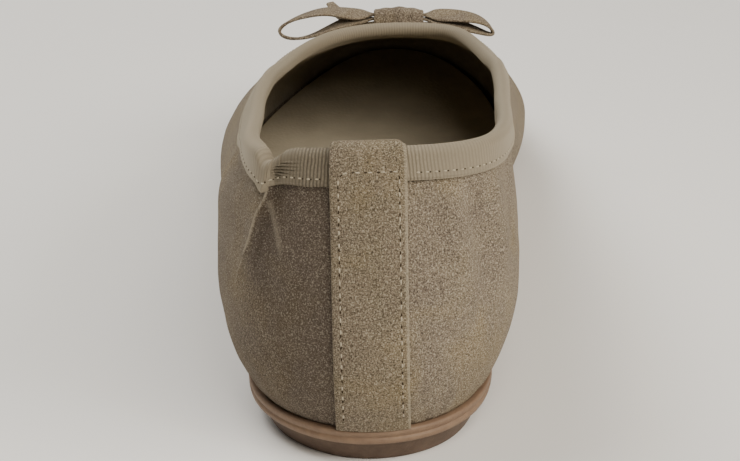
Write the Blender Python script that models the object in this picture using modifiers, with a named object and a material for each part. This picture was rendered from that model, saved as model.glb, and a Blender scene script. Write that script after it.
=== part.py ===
"""Ballet flat for the left foot, standing empty on its sole.

The toe points along +Y and the inner (big toe) side along +X. The origin lies on the floor,
under the middle of the heel lift. Lengths are in metres.

The upper is a lasted suede shell. Its wall follows section lines that rise from the sole edge
to the topline, fanned round the shoe from the back of the heel over the toe and back again.
The binding and the back strip lie on the same wall, at their own distance from it.
"""

import math

import bpy
import numpy as np

# Last
LENGTH = 0.242
BALL_WIDTH = 0.080
HEEL_WIDTH = 0.051
SWELL = 0.010
HEEL_CENTRE = 0.026

# Heights of the topline above the sole
BACK_RISE = 0.0598
SIDE_RISE = 0.0465
THROAT_RISE = 0.0410

# Sole
LIFT_HEIGHT = 0.0049
LIFT_LENGTH = 0.054
LIFT_RECESS = 0.0015
LIFT_DRAFT = 0.0026
SHANK_GAP = 0.0040
SOLE_THICKNESS = 0.0032
SOLE_PROUD = 0.0013
ARCH_RISE = 0.0022
TOE_SPRING = 0.0085
BALL_START = 0.142
BALL_END = 0.182

# Upper, binding, strip and insole
WALL = 0.0016
LASTING_MARGIN = 0.0090
CLEARANCE = 0.0003
BINDING_THICKNESS = 0.0007
BINDING_DEPTH = 0.0061
BINDING_TURN = 0.0055
STRIP_WIDTH = 0.0162
STRIP_SHIFT = 0.0005
STRIP_THICKNESS = 0.0011
STRIP_TURN = 0.0085
STRIP_STEP = 0.0018
STRIP_LAP = 0.0004
INSOLE_THICKNESS = 0.0028
INSOLE_ROUND = 0.0007
INSOLE_EASE = 0.0010
FILLER_EASE = 0.0006

# Bow
STRAP_WIDTH = 0.0068
STRAP_THICKNESS = 0.0008
KNOT_WIDTH = 0.0135
KNOT_BULGE = 0.0006
BOW_SETBACK = 0.0135
BOW_SHIFT = -0.0018
LOOP_LENGTH = 0.0310
LOOP_HEIGHT = 0.0068
TAIL_LENGTH = 0.0270
KNOT_SHARE = 0.62

STATIONS = 84
FINE_STEPS = 120
WALL_STEPS = 10

# One row for each section line, counter-clockwise from the back of the heel. along and
# top_along are shares of the length, across and top_across shares of the width there, low_out
# and high_out shares of the swell, low_up and high_down shares of the wall's rise, and
# top_height a share of the topline's usual height.
SECTION_COLUMNS = (
    "along", "across", "low_out", "low_up", "top_along", "top_across", "top_height", "high_out",
    "high_down",
)
SECTIONS = {
    "heel_back":   (0.000,  0.000, 0.90, 0.32, 0.022,  0.000, 1.000, 0.50, 0.36),
    "inner_heel":  (0.023,  0.288, 1.00, 0.29, 0.027,  0.294, 1.000, 0.35, 0.36),
    "inner_seat":  (0.099,  0.476, 1.25, 0.28, 0.070,  0.535, 0.995, 0.22, 0.36),
    "inner_shank": (0.231,  0.475, 1.15, 0.29, 0.198,  0.600, 0.990, 0.45, 0.36),
    "inner_waist": (0.372,  0.365, 0.95, 0.34, 0.318,  0.585, 1.000, 0.55, 0.36),
    "inner_joint": (0.504,  0.330, 0.85, 0.36, 0.426,  0.502, 1.000, 0.80, 0.34),
    "inner_ball":  (0.628,  0.392, 0.72, 0.38, 0.533,  0.411, 1.005, 0.90, 0.32),
    "inner_vamp":  (0.752,  0.440, 0.62, 0.40, 0.616,  0.343, 1.010, 0.68, 0.32),
    "inner_toe":   (0.876,  0.410, 0.60, 0.40, 0.674,  0.282, 1.015, 0.45, 0.42),
    "inner_tip":   (0.971,  0.250, 0.80, 0.40, 0.698,  0.200, 1.015, 0.25, 0.44),
    "toe":         (1.000,  0.050, 0.90, 0.40, 0.704,  0.094, 1.015, 0.15, 0.44),
    "outer_tip":   (0.979, -0.150, 0.80, 0.40, 0.702, -0.012, 1.015, 0.25, 0.44),
    "outer_toe":   (0.893, -0.350, 0.60, 0.40, 0.689, -0.118, 1.010, 0.40, 0.42),
    "outer_vamp":  (0.777, -0.480, 0.45, 0.40, 0.650, -0.220, 1.000, 0.60, 0.34),
    "outer_ball":  (0.645, -0.515, 0.52, 0.37, 0.562, -0.318, 0.985, 0.62, 0.32),
    "outer_joint": (0.508, -0.520, 0.80, 0.36, 0.442, -0.416, 0.970, 0.60, 0.34),
    "outer_waist": (0.368, -0.530, 1.15, 0.36, 0.322, -0.518, 0.960, 0.85, 0.34),
    "outer_shank": (0.227, -0.528, 1.30, 0.36, 0.198, -0.522, 0.955, 0.90, 0.34),
    "outer_seat":  (0.099, -0.502, 1.38, 0.32, 0.074, -0.482, 0.965, 0.10, 0.36),
    "outer_heel":  (0.023, -0.289, 1.05, 0.29, 0.028, -0.284, 0.990, 0.30, 0.36),
}
TOE_ROW = list(SECTIONS).index("toe")
TOP_LEAD = 0.45

# Edge of the outsole from its top to its underside: out is a share of how far it stands proud
# of the upper, down a share of its thickness.
SOLE_EDGE = {
    "seat":        (-1.20, 0.00),
    "bead_top":    (0.60, 0.00),
    "bead":        (1.00, 0.18),
    "groove":      (0.74, 0.52),
    "lower_bead":  (0.92, 0.74),
    "underside":   (0.60, 1.00),
}

# Loops of the bow, seen from behind, from the upper strand in the knot round the end and back
# under it: across is a share of the loop's length, up a share of its height, level counts
# strands above the lower one, width is a share of the strap's, and tilt turns its front edge
# up, in degrees.
LOOP_COLUMNS = ("across", "up", "level", "width", "tilt")
LEFT_LOOP = {
    "knot_over":  (-0.08, 0.00, 1.0, 0.62, 0),
    "over_out":   (-0.215, 0.00, 1.0, 0.68, 3),
    "spread":     (-0.30, 0.00, 1.0, 0.86, 22),
    "rise":       (-0.42, 0.02, 1.0, 1.00, 28),
    "crest":      (-0.62, 0.10, 1.0, 1.00, 20),
    "fall":       (-0.80, -0.02, 0.9, 1.00, 12),
    "shoulder":   (-0.95, -0.22, 0.6, 1.00, 4),
    "end":        (-1.05, -0.55, 0.3, 1.00, 0),
    "turn":       (-0.98, -0.82, 0.1, 1.00, 0),
    "under":      (-0.80, -0.76, 0.0, 1.00, 5),
    "back_in":    (-0.60, -0.40, 0.0, 1.00, 16),
    "narrowing":  (-0.42, -0.10, 0.0, 0.96, 26),
    "gather":     (-0.30, -0.02, 0.0, 0.84, 20),
    "under_in":   (-0.215, 0.00, 0.0, 0.68, 3),
    "knot_under": (-0.08, 0.00, 0.0, 0.62, 0),
}
RIGHT_LOOP = {
    "knot_under": (0.08, 0.00, 0.0, 0.62, 0),
    "under_out":  (0.215, 0.00, 0.0, 0.68, 3),
    "spread":     (0.30, -0.03, 0.0, 0.84, 20),
    "under":      (0.42, -0.12, 0.0, 0.96, 26),
    "turn":       (0.64, -0.36, 0.0, 1.00, 20),
    "end":        (0.82, -0.62, 0.25, 1.00, 6),
    "shoulder":   (0.80, -0.34, 0.5, 1.00, 10),
    "crest":      (0.65, -0.08, 0.9, 1.00, 24),
    "fall":       (0.42, 0.00, 1.0, 1.00, 30),
    "gather":     (0.30, 0.00, 1.0, 0.86, 24),
    "over_in":    (0.215, 0.00, 1.0, 0.68, 3),
    "knot_over":  (0.08, 0.00, 1.0, 0.62, 0),
}

# Tails of the bow, from one cut end through the knot to the other: across and ahead are shares
# of the tail's length, up a share of the loop's height, width a share of the strap's, and tilt
# as in the loops.
TAIL_COLUMNS = ("across", "ahead", "up", "width", "tilt")
TAILS = {
    "left_tip":    (-0.70, 0.44, 0.86, 0.50, 36),
    "left_mid":    (-0.58, 0.38, 0.34, 1.00, 26),
    "left_bend":   (-0.42, 0.22, -0.10, 0.90, 4),
    "left_start":  (-0.27, 0.00, -0.02, 0.62, 0),
    "middle":      (0.00, 0.00, 0.00, 0.62, 0),
    "right_start": (0.27, 0.00, -0.02, 0.62, 0),
    "right_bend":  (0.42, 0.22, -0.12, 0.90, 0),
    "right_mid":   (0.56, 0.38, -0.30, 1.00, 0),
    "right_tip":   (0.78, 0.50, -0.60, 0.90, 0),
}


def clear_scene():
    for obj in list(bpy.data.objects):
        bpy.data.objects.remove(obj)


def smooth_step(value, start, end):
    """0 before start, 1 after end, and a soft S between them."""
    share = np.clip((value - start) / (end - start), 0.0, 1.0)
    return share * share * (3.0 - 2.0 * share)


def closed_curve(rows, places):
    """Points at these row numbers on the smooth closed curve through the rows."""
    rows = np.asarray(rows, float)
    count = len(rows)
    system = 4.0 * np.eye(count) + np.roll(np.eye(count), 1, 0) + np.roll(np.eye(count), -1, 0)
    slopes = np.linalg.solve(system, 3.0 * (np.roll(rows, -1, 0) - np.roll(rows, 1, 0)))
    places = np.asarray(places, float) % count
    first = np.floor(places).astype(int) % count
    after = (first + 1) % count
    t = (places - np.floor(places))[:, None]
    return (
        rows[first] * (1 + 2 * t) * (1 - t) ** 2
        + slopes[first] * t * (1 - t) ** 2
        + rows[after] * t * t * (3 - 2 * t)
        + slopes[after] * t * t * (t - 1)
    )


def open_curve(rows, places):
    """Points at these row numbers on a smooth curve through the rows, with natural ends."""
    rows = np.asarray(rows, float)
    count = len(rows)
    system = 4.0 * np.eye(count) + np.eye(count, k=1) + np.eye(count, k=-1)
    system[0, 0] = system[-1, -1] = 2.0
    change = 3.0 * (np.roll(rows, -1, 0) - np.roll(rows, 1, 0))
    change[0] = 3.0 * (rows[1] - rows[0])
    change[-1] = 3.0 * (rows[-1] - rows[-2])
    slopes = np.linalg.solve(system, change)
    places = np.asarray(places, float)
    first = np.clip(np.floor(places).astype(int), 0, count - 2)
    t = (places - first)[:, None]
    return (
        rows[first] * (1 + 2 * t) * (1 - t) ** 2
        + slopes[first] * t * (1 - t) ** 2
        + rows[first + 1] * t * t * (3 - 2 * t)
        + slopes[first + 1] * t * t * (t - 1)
    )


def width_at(along):
    """Width that the shares across refer to: the heel's at the back, the ball's in front."""
    share = smooth_step(along, 0.25 * LENGTH, 0.68 * LENGTH)
    return HEEL_WIDTH + (BALL_WIDTH - HEEL_WIDTH) * share


def sole_underside(along):
    """Height of the outsole's underside above the floor."""
    seat_front = LIFT_LENGTH + SHANK_GAP
    waist = np.clip((along - seat_front) / (BALL_START - seat_front), 0.0, 1.0)
    shank = (LIFT_HEIGHT + CLEARANCE) * (1.0 - smooth_step(along, seat_front, BALL_START))
    arch = ARCH_RISE * np.sin(math.pi * waist) ** 2
    spring = TOE_SPRING * np.clip((along - BALL_END) / (LENGTH - BALL_END), 0.0, 1.2) ** 2
    return shank + arch + spring


def sole_top(along):
    return sole_underside(along) + SOLE_THICKNESS


def topline_rise(along):
    """Height of the topline above the sole under it."""
    to_side = smooth_step(along, 0.0, 0.42 * LENGTH)
    to_throat = smooth_step(along, 0.42 * LENGTH, 0.69 * LENGTH)
    return BACK_RISE + (SIDE_RISE - BACK_RISE) * to_side + (THROAT_RISE - SIDE_RISE) * to_throat


def plan_normals(points):
    """Unit normals, pointing out, of a closed outline seen from above."""
    way = np.roll(points, -1, 0) - np.roll(points, 1, 0)
    out = np.stack([way[:, 1], -way[:, 0], np.zeros(len(points))], axis=1)
    return out / np.linalg.norm(out, axis=1, keepdims=True)


class Wall:
    """The outer face of the upper at chosen section lines, given by their row numbers."""

    def __init__(self, places):
        self.places = np.asarray(places, float)
        lines = self.lines(self.places)
        ahead = self.lines(self.places + 0.02)
        behind = self.lines(self.places - 0.02)
        self.curves = lines
        self.girth = ahead - behind
        steps = np.linalg.norm(np.diff(lines, axis=1), axis=2)
        self.runs = np.concatenate([np.zeros((len(lines), 1)), np.cumsum(steps, 1)], 1)
        self.length = self.runs[:, -1]

    @staticmethod
    def lines(places):
        """Every section line as fine steps from the sole edge to the topline."""
        row = dict(zip(SECTION_COLUMNS, closed_curve(list(SECTIONS.values()), places).T))
        along = row["along"] * LENGTH
        top_along = row["top_along"] * LENGTH
        foot = np.stack([row["across"] * width_at(along), along, sole_top(along) + CLEARANCE], 1)
        top_height = sole_top(top_along) + topline_rise(top_along) * row["top_height"]
        top = np.stack([row["top_across"] * width_at(top_along), top_along, top_height], 1)
        beside = closed_curve(list(SECTIONS.values()), places + 0.05)
        before = closed_curve(list(SECTIONS.values()), places - 0.05)
        ends = []
        for near in (beside, before):
            near_along = near[:, 0] * LENGTH
            ends.append(np.stack([near[:, 1] * width_at(near_along), near_along], 1))
        way = ends[0] - ends[1]
        out = np.stack([way[:, 1], -way[:, 0], np.zeros(len(way))], 1)
        out /= np.linalg.norm(out, axis=1, keepdims=True)
        up = np.array([0.0, 0.0, 1.0])
        rise = (top[:, 2] - foot[:, 2])[:, None]
        low = foot + out * SWELL * row["low_out"][:, None] + up * rise * row["low_up"][:, None]
        lead = (foot - top) * np.array([1.0, 1.0, 0.0]) * TOP_LEAD
        high = top + lead + out * SWELL * row["high_out"][:, None]
        high = high - up * rise * row["high_down"][:, None]
        t = np.linspace(0.0, 1.0, FINE_STEPS)[None, :, None]
        return (
            foot[:, None] * (1 - t) ** 3
            + 3 * low[:, None] * t * (1 - t) ** 2
            + 3 * high[:, None] * t * t * (1 - t)
            + top[:, None] * t**3
        )

    def at(self, run):
        """(points, way up the wall, way out of it) at this distance up each line."""
        run = np.broadcast_to(np.asarray(run, float), self.length.shape)
        points = np.empty((len(run), 3))
        up = np.empty((len(run), 3))
        girth = np.empty((len(run), 3))
        for k, distance in enumerate(run):
            step = self.length[k] / FINE_STEPS
            for axis in range(3):
                line = self.curves[k, :, axis]
                points[k, axis] = np.interp(distance, self.runs[k], line)
                above = np.interp(min(distance + step, self.length[k]), self.runs[k], line)
                below = np.interp(max(distance - step, 0.0), self.runs[k], line)
                up[k, axis] = above - below
                girth[k, axis] = np.interp(distance, self.runs[k], self.girth[k, :, axis])
        out = np.cross(girth, up)
        up /= np.linalg.norm(up, axis=1, keepdims=True)
        out /= np.linalg.norm(out, axis=1, keepdims=True)
        return points, up, out

    def below_top(self, distance, offset=0.0, above=0.0):
        """Points this far down from the topline, off the wall by offset and raised along it."""
        points, up, out = self.at(self.length - distance)
        return points + out * offset + up * above


def grid_faces(rows, columns, closed):
    """Quads between neighbouring rows of points, each row running counter-clockwise."""
    faces = []
    for row in range(rows - 1):
        for k in range(columns if closed else columns - 1):
            nxt = (k + 1) % columns
            low, high = row * columns, (row + 1) * columns
            faces.append((low + k, low + nxt, high + nxt, high + k))
    return faces


def ladder_faces(count, start):
    """Faces that close a ring of points, joining each inner point to the outer one beside it."""
    half = count // 2
    faces = [(start, start + 1, start + count - 1)]
    for k in range(1, half - 1):
        faces.append((start + k, start + k + 1, start + count - k - 1, start + count - k))
    faces.append((start + half - 1, start + half, start + half + 1))
    return faces


def material(name, colour, roughness):
    made = bpy.data.materials.new(name)
    made.use_nodes = True
    shader = made.node_tree.nodes["Principled BSDF"]
    shader.inputs["Base Color"].default_value = (*colour, 1.0)
    shader.inputs["Roughness"].default_value = roughness
    shader.inputs["Metallic"].default_value = 0.0
    return made


def add_object(name, points, faces, finish, parts):
    mesh = bpy.data.meshes.new(name)
    shifted = np.asarray(points, float) - np.array([0.0, HEEL_CENTRE, 0.0])
    mesh.from_pydata([tuple(p) for p in shifted], [], faces)
    mesh.materials.append(finish)
    mesh.update()
    mesh.shade_smooth()
    mesh.set_sharp_from_angle(angle=math.radians(40))
    made = bpy.data.objects.new(name, mesh)
    parts.objects.link(made)
    return made


def solidify(obj, thickness, outward):
    shell = obj.modifiers.new("wall", "SOLIDIFY")
    shell.thickness = thickness
    shell.offset = 1.0 if outward else -1.0
    shell.use_even_offset = True
    shell.use_quality_normals = True


def ring_solid(name, rings, finish, parts):
    """A closed solid through rings of points, from the top one to the bottom one."""
    count = len(rings[0])
    points = np.concatenate(rings[::-1])
    faces = grid_faces(len(rings), count, closed=True)
    faces += ladder_faces(count, (len(rings) - 1) * count)
    faces += [face[::-1] for face in ladder_faces(count, 0)]
    return add_object(name, points, faces, finish, parts)


def edge_ring(wall, out, height):
    """The outline where upper and sole meet, widened by out, at a height for each point."""
    foot, _, _ = wall.at(0.0)
    moved = foot + plan_normals(foot) * out
    moved[:, 2] = height(foot[:, 1])
    return moved


def build_outsole(wall, finish, parts):
    rings = []
    for out, down in SOLE_EDGE.values():
        rings.append(
            edge_ring(wall, out * SOLE_PROUD, lambda a, d=down: sole_top(a) - d * SOLE_THICKNESS)
        )
    return ring_solid("outsole", rings, finish, parts)


def build_heel_lift(finish, parts):
    """The lift under the heel, drawn in towards the floor, with a straight breast in front."""
    places = np.linspace(-3.6, 3.6, 600)
    foot, _, _ = Wall(places).at(0.0)
    way = np.gradient(foot, axis=0)
    out = np.stack([way[:, 1], -way[:, 0], np.zeros(len(way))], 1)
    out /= np.linalg.norm(out, axis=1, keepdims=True)
    rings = []
    top_out = SOLE_PROUD - LIFT_RECESS
    for recess, height in ((0.0, LIFT_HEIGHT), (LIFT_DRAFT, 0.0)):
        outline = foot + out * (top_out - recess)
        inside = outline[outline[:, 1] <= LIFT_LENGTH]
        runs = np.concatenate([[0.0], np.cumsum(np.linalg.norm(np.diff(inside, axis=0), axis=1))])
        even = np.linspace(0.0, runs[-1], 33)
        ring = np.stack([np.interp(even, runs, inside[:, axis]) for axis in range(3)], 1)
        ring[0, 1] = ring[-1, 1] = LIFT_LENGTH
        ring[:, 2] = height
        rings.append(ring)
    count = len(rings[0])
    faces = grid_faces(2, count, closed=True)
    faces.append(tuple(range(count, 2 * count)))
    faces.append(tuple(range(count))[::-1])
    return add_object("heel_lift", np.concatenate(rings[::-1]), faces, finish, parts)


def build_upper(wall, finish, parts):
    """The shell: the margin turned in under the insole, then the wall up to the topline."""
    rows = [
        edge_ring(wall, -LASTING_MARGIN, lambda a: sole_top(a) + CLEARANCE),
        edge_ring(wall, -LASTING_MARGIN / 2, lambda a: sole_top(a) + CLEARANCE),
        edge_ring(wall, 0.0, lambda a: sole_top(a) + CLEARANCE),
    ]
    free = wall.length - BINDING_DEPTH
    for step in range(1, WALL_STEPS + 1):
        rows.append(wall.at(free * step / WALL_STEPS)[0])
    rows.append(wall.below_top(BINDING_DEPTH / 2))
    rows.append(wall.below_top(0.0))
    faces = grid_faces(len(rows), STATIONS, closed=True)
    upper = add_object("upper", np.concatenate(rows), faces, finish, parts)
    solidify(upper, WALL, outward=False)
    return upper


def wrap_rows(wall, off, outer_depth, inner_depth, steps):
    """Rows of points that run up the outside of the wall, over the topline and down inside."""
    middle = -WALL / 2
    radius = WALL / 2 + off
    rows = [wall.below_top(outer_depth, off), wall.below_top(outer_depth / 2, off)]
    for step in range(steps + 1):
        turn = math.pi * step / steps
        rows.append(
            wall.below_top(0.0, middle + radius * math.cos(turn), radius * math.sin(turn))
        )
    rows.append(wall.below_top(inner_depth, -WALL - off))
    return rows


def build_binding(wall, finish, parts):
    rows = wrap_rows(wall, CLEARANCE, BINDING_DEPTH, BINDING_TURN, 4)
    faces = grid_faces(len(rows), STATIONS, closed=True)
    binding = add_object("topline_binding", np.concatenate(rows), faces, finish, parts)
    solidify(binding, BINDING_THICKNESS, outward=True)
    return binding


def strip_row(distance, share, offset, above, shares):
    """Points across the back strip: distance down from the topline, and share of what is left."""
    places = np.linspace(-1.3, 1.3, 53)
    for _ in range(2):
        wall = Wall(places)
        down = distance + share * (wall.length - distance - CLEARANCE)
        points = wall.below_top(down, offset, above)
        if len(places) > len(shares):
            wanted = STRIP_SHIFT + shares * STRIP_WIDTH / 2
            places = np.interp(wanted, points[:, 0], places)
    return points


def build_back_strip(finish, parts):
    shares = np.linspace(-1.0, 1.0, 7)
    over = 2 * CLEARANCE + BINDING_THICKNESS
    lap = BINDING_DEPTH + STRIP_LAP
    under = lap + STRIP_STEP
    rows = []
    for step in range(9):
        rows.append(
            strip_row(under, 1.0 - step / 8, CLEARANCE, 0.0, shares)
        )
    for distance in (lap, BINDING_DEPTH / 2):
        rows.append(strip_row(distance, 0.0, over, 0.0, shares))
    middle = -WALL / 2
    radius = WALL / 2 + over
    for step in range(6):
        turn = math.pi * step / 5
        away = middle + radius * math.cos(turn)
        rows.append(strip_row(0.0, 0.0, away, radius * math.sin(turn), shares))
    rows.append(strip_row(STRIP_TURN, 0.0, -WALL - over, 0.0, shares))
    faces = grid_faces(len(rows), len(shares), closed=False)
    strip = add_object("back_strip", np.concatenate(rows), faces, finish, parts)
    solidify(strip, STRIP_THICKNESS, outward=True)
    return strip


def build_insole(wall, finish, parts):
    """The insole board over the lasting margin, with the filler that lies inside the margin."""
    seat = CLEARANCE + WALL + CLEARANCE
    inset = -(WALL + INSOLE_EASE)
    filler = -(LASTING_MARGIN + FILLER_EASE)
    rings = [
        edge_ring(wall, inset - INSOLE_ROUND, lambda a: sole_top(a) + seat + INSOLE_THICKNESS),
        edge_ring(
            wall, inset, lambda a: sole_top(a) + seat + INSOLE_THICKNESS - INSOLE_ROUND
        ),
        edge_ring(wall, inset, lambda a: sole_top(a) + seat),
        edge_ring(wall, filler, lambda a: sole_top(a) + seat),
        edge_ring(wall, filler, lambda a: sole_top(a) + CLEARANCE),
    ]
    return ring_solid("insole", rings, finish, parts)


def throat_frame():
    """Where the bow sits on the vamp: its seat, and the ways across, ahead and up from it."""
    seat, up, out = Wall([TOE_ROW]).at(Wall([TOE_ROW]).length - BOW_SETBACK)
    ahead = -up[0]
    above = out[0]
    across = np.cross(ahead, above)
    return seat[0] + across * BOW_SHIFT, across, ahead, above


def strap_rows(path, sides, widths):
    """Pairs of points, this far apart along the way given for each point of a path."""
    half = np.broadcast_to(widths, len(path))[:, None] / 2 * sides
    return np.stack([path - half, path + half], 1)


def strap(name, rows, closed, finish, parts):
    """A strap of even thickness through rows of points, each row lying across its width."""
    count, columns = rows.shape[:2]
    faces = []
    for k in range(count if closed else count - 1):
        here = k * columns
        ahead = (k + 1) % count * columns
        for j in range(columns - 1):
            faces.append((here + j, here + j + 1, ahead + j + 1, ahead + j))
    band = add_object(name, rows.reshape(-1, 3), faces, finish, parts)
    shell = band.modifiers.new("strap", "SOLIDIFY")
    shell.thickness = STRAP_THICKNESS
    shell.offset = 0.0
    shell.use_even_offset = True
    return band


def tilted(ahead, above, degrees):
    """The way ahead with its front turned up by each of these angles."""
    turn = np.radians(degrees)
    return np.outer(np.cos(turn), ahead) + np.outer(np.sin(turn), above)


def build_bow(finish, parts):
    """The loops lie over the tails, and the knot wraps all three strands."""
    seat, across, ahead, above = throat_frame()
    level = STRAP_THICKNESS + CLEARANCE
    half_height = STRAP_THICKNESS + level + CLEARANCE
    half_depth = KNOT_SHARE / 2 * STRAP_WIDTH + 2 * CLEARANCE + STRAP_THICKNESS
    centre = seat + above * (half_height + STRAP_THICKNESS / 2 + CLEARANCE)

    loop = list(LEFT_LOOP.values()) + list(RIGHT_LOOP.values())
    rows = closed_curve(loop, np.arange(0, len(loop), 0.5))
    row = dict(zip(LOOP_COLUMNS, rows.T))
    path = centre + np.outer(row["across"] * LOOP_LENGTH, across)
    path = path + np.outer(row["up"] * LOOP_HEIGHT + row["level"] * level, above)
    sides = tilted(ahead, above, row["tilt"])
    strap("bow_loops", strap_rows(path, sides, row["width"] * STRAP_WIDTH), True, finish, parts)

    rows = open_curve(list(TAILS.values()), np.linspace(0, len(TAILS) - 1, 25))
    row = dict(zip(TAIL_COLUMNS, rows.T))
    path = centre + np.outer(row["across"] * TAIL_LENGTH, across)
    path = path + np.outer(row["ahead"] * TAIL_LENGTH, ahead)
    path = path + np.outer(row["up"] * LOOP_HEIGHT - level, above)
    sides = tilted(ahead, above, row["tilt"])
    strap("bow_tails", strap_rows(path, sides, row["width"] * STRAP_WIDTH), False, finish, parts)

    turn = np.linspace(0.0, 2 * math.pi, 25)[:-1]
    square = (np.cos(turn) ** 4 + np.sin(turn) ** 4) ** (-1 / 4)
    path = centre + np.outer(half_depth * np.cos(turn) * square, ahead)
    path = path + np.outer(half_height * np.sin(turn) * square, above)
    share = np.linspace(-1.0, 1.0, 5)
    bulge = KNOT_BULGE * np.outer(np.maximum(np.sin(turn), 0.0), 1.0 - share**2)
    rows = path[:, None] + across * (share * KNOT_WIDTH / 2)[:, None] + above * bulge[..., None]
    strap("bow_knot", rows, True, finish, parts)


def main():
    clear_scene()
    parts = bpy.data.collections.new("ballet_flat")
    bpy.context.scene.collection.children.link(parts)
    suede = material("taupe_suede", (0.235, 0.190, 0.140), 0.92)
    ribbon_cloth = material("taupe_grosgrain", (0.290, 0.245, 0.185), 0.80)
    rubber = material("tan_rubber", (0.230, 0.165, 0.110), 0.60)
    dark_rubber = material("brown_rubber", (0.120, 0.085, 0.065), 0.65)
    lining = material("taupe_lining", (0.250, 0.205, 0.150), 0.75)
    wall = Wall(np.arange(STATIONS) * len(SECTIONS) / STATIONS)
    build_outsole(wall, rubber, parts)
    build_heel_lift(dark_rubber, parts)
    build_upper(wall, suede, parts)
    build_binding(wall, ribbon_cloth, parts)
    build_back_strip(suede, parts)
    build_insole(wall, lining, parts)
    build_bow(suede, parts)


main()
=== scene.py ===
"""Ballet flat of taupe suede, left foot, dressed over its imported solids.

Toe along +Y, inner side along +X, origin on the floor under the middle of the heel lift. Metres.
"""
import math

import bpy
import numpy as np
from mathutils import Matrix, Vector, noise


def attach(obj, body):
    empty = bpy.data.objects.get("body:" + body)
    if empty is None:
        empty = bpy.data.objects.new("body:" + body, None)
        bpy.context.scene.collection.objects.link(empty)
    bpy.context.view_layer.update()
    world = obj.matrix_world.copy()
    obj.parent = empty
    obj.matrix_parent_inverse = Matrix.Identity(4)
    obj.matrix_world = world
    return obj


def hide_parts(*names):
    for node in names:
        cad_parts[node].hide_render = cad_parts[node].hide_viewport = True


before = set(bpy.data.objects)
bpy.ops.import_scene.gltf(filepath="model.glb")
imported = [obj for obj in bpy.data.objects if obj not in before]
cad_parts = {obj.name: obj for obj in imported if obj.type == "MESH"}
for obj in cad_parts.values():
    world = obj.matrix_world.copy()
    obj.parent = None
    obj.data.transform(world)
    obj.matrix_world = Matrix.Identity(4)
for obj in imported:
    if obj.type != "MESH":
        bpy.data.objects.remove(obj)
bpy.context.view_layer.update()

# Suede upper: one piece of kid suede lasted over the foot's form, its margin turned in under the
# insole. Its wall follows section lines from the sole's edge to the topline, fanned round the
# shoe from the back of the heel over the toe, and the other pieces of the wall lie on the same.
LENGTH = 0.242
BALL_WIDTH = 0.080
HEEL_WIDTH = 0.051
SWELL = 0.010
HEEL_CENTRE = 0.026
BACK_RISE = 0.0598
SIDE_RISE = 0.0465
THROAT_RISE = 0.0410
LIFT_HEIGHT = 0.0049
LIFT_LENGTH = 0.054
SHANK_GAP = 0.004
SOLE_THICKNESS = 0.0032
ARCH_RISE = 0.0022
TOE_SPRING = 0.0085
BALL_START = 0.142
BALL_END = 0.182
WALL = 0.0016
SUEDE_THICKNESS = 0.0009
LASTING_MARGIN = 0.0090
CLEARANCE = 0.0003
BINDING_DEPTH = 0.0061
TOP_LEAD = 0.45
FINE_STEPS = 120
UPPER_STATIONS = 900
UPPER_ROWS = 88
INSIDE_ROWS = 14

SECTION_COLUMNS = (
    "along", "across", "low_out", "low_up", "top_along", "top_across", "top_height", "high_out",
    "high_down",
)
SECTIONS = {
    "heel_back":   (0.000,  0.000, 0.90, 0.32, 0.022,  0.000, 1.000, 0.50, 0.36),
    "inner_heel":  (0.023,  0.288, 1.00, 0.29, 0.027,  0.294, 1.000, 0.35, 0.36),
    "inner_seat":  (0.099,  0.476, 1.25, 0.28, 0.070,  0.535, 0.995, 0.22, 0.36),
    "inner_shank": (0.231,  0.475, 1.15, 0.29, 0.198,  0.600, 0.990, 0.45, 0.36),
    "inner_waist": (0.372,  0.365, 0.95, 0.34, 0.318,  0.585, 1.000, 0.55, 0.36),
    "inner_joint": (0.504,  0.330, 0.85, 0.36, 0.426,  0.502, 1.000, 0.80, 0.34),
    "inner_ball":  (0.628,  0.392, 0.72, 0.38, 0.533,  0.411, 1.005, 0.90, 0.32),
    "inner_vamp":  (0.752,  0.440, 0.62, 0.40, 0.616,  0.343, 1.010, 0.68, 0.32),
    "inner_toe":   (0.876,  0.410, 0.60, 0.40, 0.674,  0.282, 1.015, 0.45, 0.42),
    "inner_tip":   (0.971,  0.250, 0.80, 0.40, 0.698,  0.200, 1.015, 0.25, 0.44),
    "toe":         (1.000,  0.050, 0.90, 0.40, 0.704,  0.094, 1.015, 0.15, 0.44),
    "outer_tip":   (0.979, -0.150, 0.80, 0.40, 0.702, -0.012, 1.015, 0.25, 0.44),
    "outer_toe":   (0.893, -0.350, 0.60, 0.40, 0.689, -0.118, 1.010, 0.40, 0.42),
    "outer_vamp":  (0.777, -0.480, 0.45, 0.40, 0.650, -0.220, 1.000, 0.60, 0.34),
    "outer_ball":  (0.645, -0.515, 0.52, 0.37, 0.562, -0.318, 0.985, 0.62, 0.32),
    "outer_joint": (0.508, -0.520, 0.80, 0.36, 0.442, -0.416, 0.970, 0.60, 0.34),
    "outer_waist": (0.368, -0.530, 1.15, 0.36, 0.322, -0.518, 0.960, 0.85, 0.34),
    "outer_shank": (0.227, -0.528, 1.30, 0.36, 0.198, -0.522, 0.955, 0.90, 0.34),
    "outer_seat":  (0.099, -0.502, 1.38, 0.32, 0.074, -0.482, 0.965, 0.10, 0.36),
    "outer_heel":  (0.023, -0.289, 1.05, 0.29, 0.028, -0.284, 0.990, 0.30, 0.36),
}
SECTION_ROWS = np.array(list(SECTIONS.values()))
TOE_ROW = list(SECTIONS).index("toe")

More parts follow.
